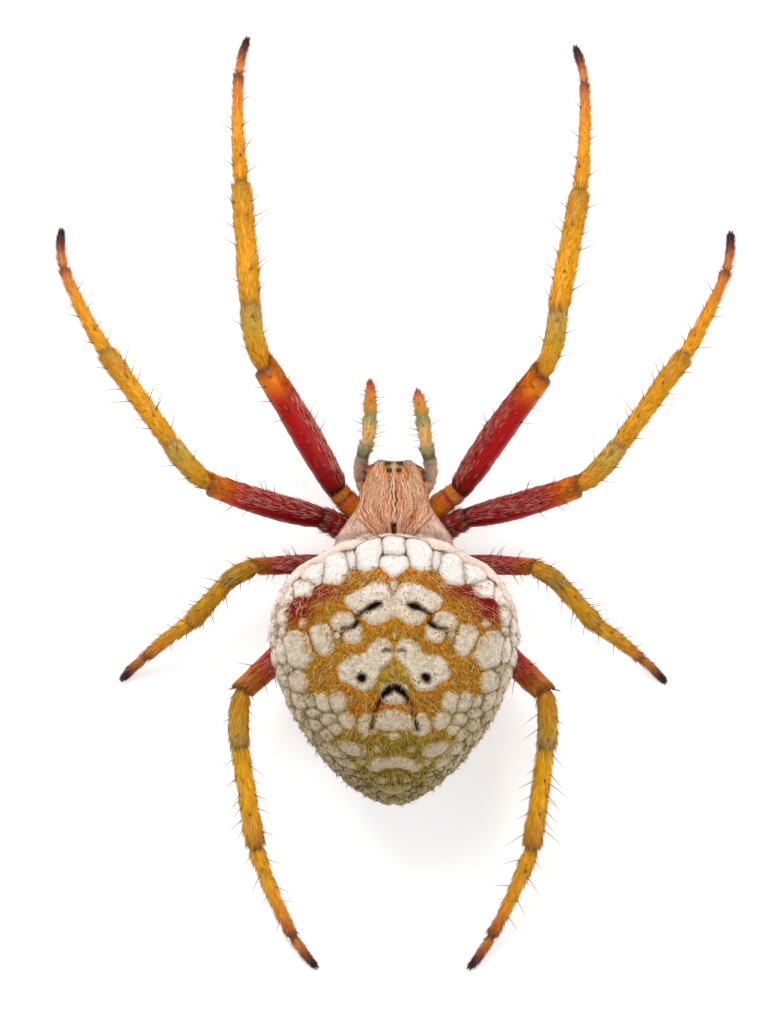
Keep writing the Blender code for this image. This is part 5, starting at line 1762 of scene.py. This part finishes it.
class SPIDER_OT_palps(bpy.types.Operator):
    """Add the two palps' skins, with their long bristles and setae"""

    bl_idname = "spider.palps"
    bl_label = "Palps"

    def execute(self, context):
        coat = context.scene.spider_coat
        for side, mirror in SIDES.items():
            skin = palp_skin(side)
            spines = limb_spines(skin, BRISTLE_ROWS, BRISTLE_LENGTHS, 1.0, mirror, 700 + mirror)
            spots = spine_spots(skin, spines[0], spines[1], 0.035)
            limb_piece(f"palp_{side}_skin", skin, spots, "leg_cuticle", (f"palp_{side}",))
            strands = spine_strands(skin, *spines, 72.0, coat.spine_radius / MM * 0.62, 710 + mirror)
            strand_piece(f"palp_{side}_bristles", strands, "spines", sides=5)
            density = np.ones(skin.points.shape[:2]) * (0.5 + skin.owner[:, None] * 0.25)
            roots = scatter(skin, density, coat.palp_hairs, 720 + mirror)
            base = roots.at(skin.tint)
            tone = blend(base * 0.9, linear("E8D0A0"), 0.5 * roots.rng.random(roots.count))
            hairs = lay_strands(roots, 0.20, coat.hair_radius / MM * 0.9, 26.0, 10.0, 0.4, tone, tone)
            strand_piece(f"palp_{side}_setae", hairs, "setae")
        return {"FINISHED"}


class SPIDER_OT_carapace_coat(bpy.types.Operator):
    """Add the setae of the carapace: long wavy strands on the head over short fine ones"""

    bl_idname = "spider.carapace_coat"
    bl_label = "Carapace coat"

    def execute(self, context):
        skin = carapace_skin(context.scene.spider_body)
        coat = context.scene.spider_coat
        across, along = np.abs(skin.points[..., 0]), skin.points[..., 1]
        top = ease(0.30, 0.62, skin.normals[..., 2])
        for radius, x, y in EYES.values():
            ahead = np.maximum(along - y, 0.0) + 0.45 * np.maximum(y - along, 0.0)
            top = top * ease(radius * 1.2, radius * 1.8, np.hypot(across - x, ahead))
        flank = ease(0.85, 1.35, across) * ease(-0.4, 0.3, along)
        strand_piece("carapace_strands", head_strands(skin, coat), "setae", sides=4)
        density = (top + 0.10) * (0.35 + 0.35 * flank) * (1 - 0.85 * np.maximum(skin.pit, skin.groove))
        roots = scatter(skin, density, coat.head_hairs, 23)
        side = ease(0.85, 1.25, np.abs(roots.root[:, 0])) * ease(-0.3, 0.3, roots.root[:, 1])
        light = blend(one_tone("E89C58", roots.count), linear("F0DCD0"), side)
        tone = blend(roots.at(skin.tint) * 0.8, light, 0.15 + 0.7 * roots.rng.random(roots.count))
        hairs = lay_strands(roots, 0.34, coat.hair_radius / MM * 1.2, 12.0, 9.0, 0.7, tone, tone)
        strand_piece("carapace_setae", hairs, "setae")
        return {"FINISHED"}


OPERATORS = (SPIDER_OT_stage, SPIDER_OT_carapace, SPIDER_OT_eyes, SPIDER_OT_mouthparts,
             SPIDER_OT_underside, SPIDER_OT_abdomen, SPIDER_OT_legs, SPIDER_OT_palps,
             SPIDER_OT_carapace_coat)
SETTINGS = {"spider_stage": StageSettings, "spider_body": BodySettings, "spider_coat": CoatSettings}


class SPIDER_PT_panel(bpy.types.Panel):
    """Lists the settings and the pieces in the sidebar"""

    bl_idname = "SPIDER_PT_panel"
    bl_label = "Orb-weaver spider"
    bl_space_type = "VIEW_3D"
    bl_region_type = "UI"
    bl_category = "Spider"

    def draw(self, context):
        for name, group in SETTINGS.items():
            box = self.layout.box()
            for label in group.__annotations__:
                box.prop(getattr(context.scene, name), label)
        for operator in OPERATORS:
            self.layout.operator(operator.bl_idname)


CLASSES = (*SETTINGS.values(), *OPERATORS, SPIDER_PT_panel)


def register():
    for item in CLASSES:
        bpy.utils.register_class(item)
    for name, group in SETTINGS.items():
        setattr(bpy.types.Scene, name, bpy.props.PointerProperty(type=group))


def unregister():
    for name in SETTINGS:
        delattr(bpy.types.Scene, name)
    for item in reversed(CLASSES):
        bpy.utils.unregister_class(item)


def main():
    register()
    for operator in OPERATORS:
        group, name = operator.bl_idname.split(".")
        getattr(getattr(bpy.ops, group), name)()


if __name__ == "__main__":
    main()
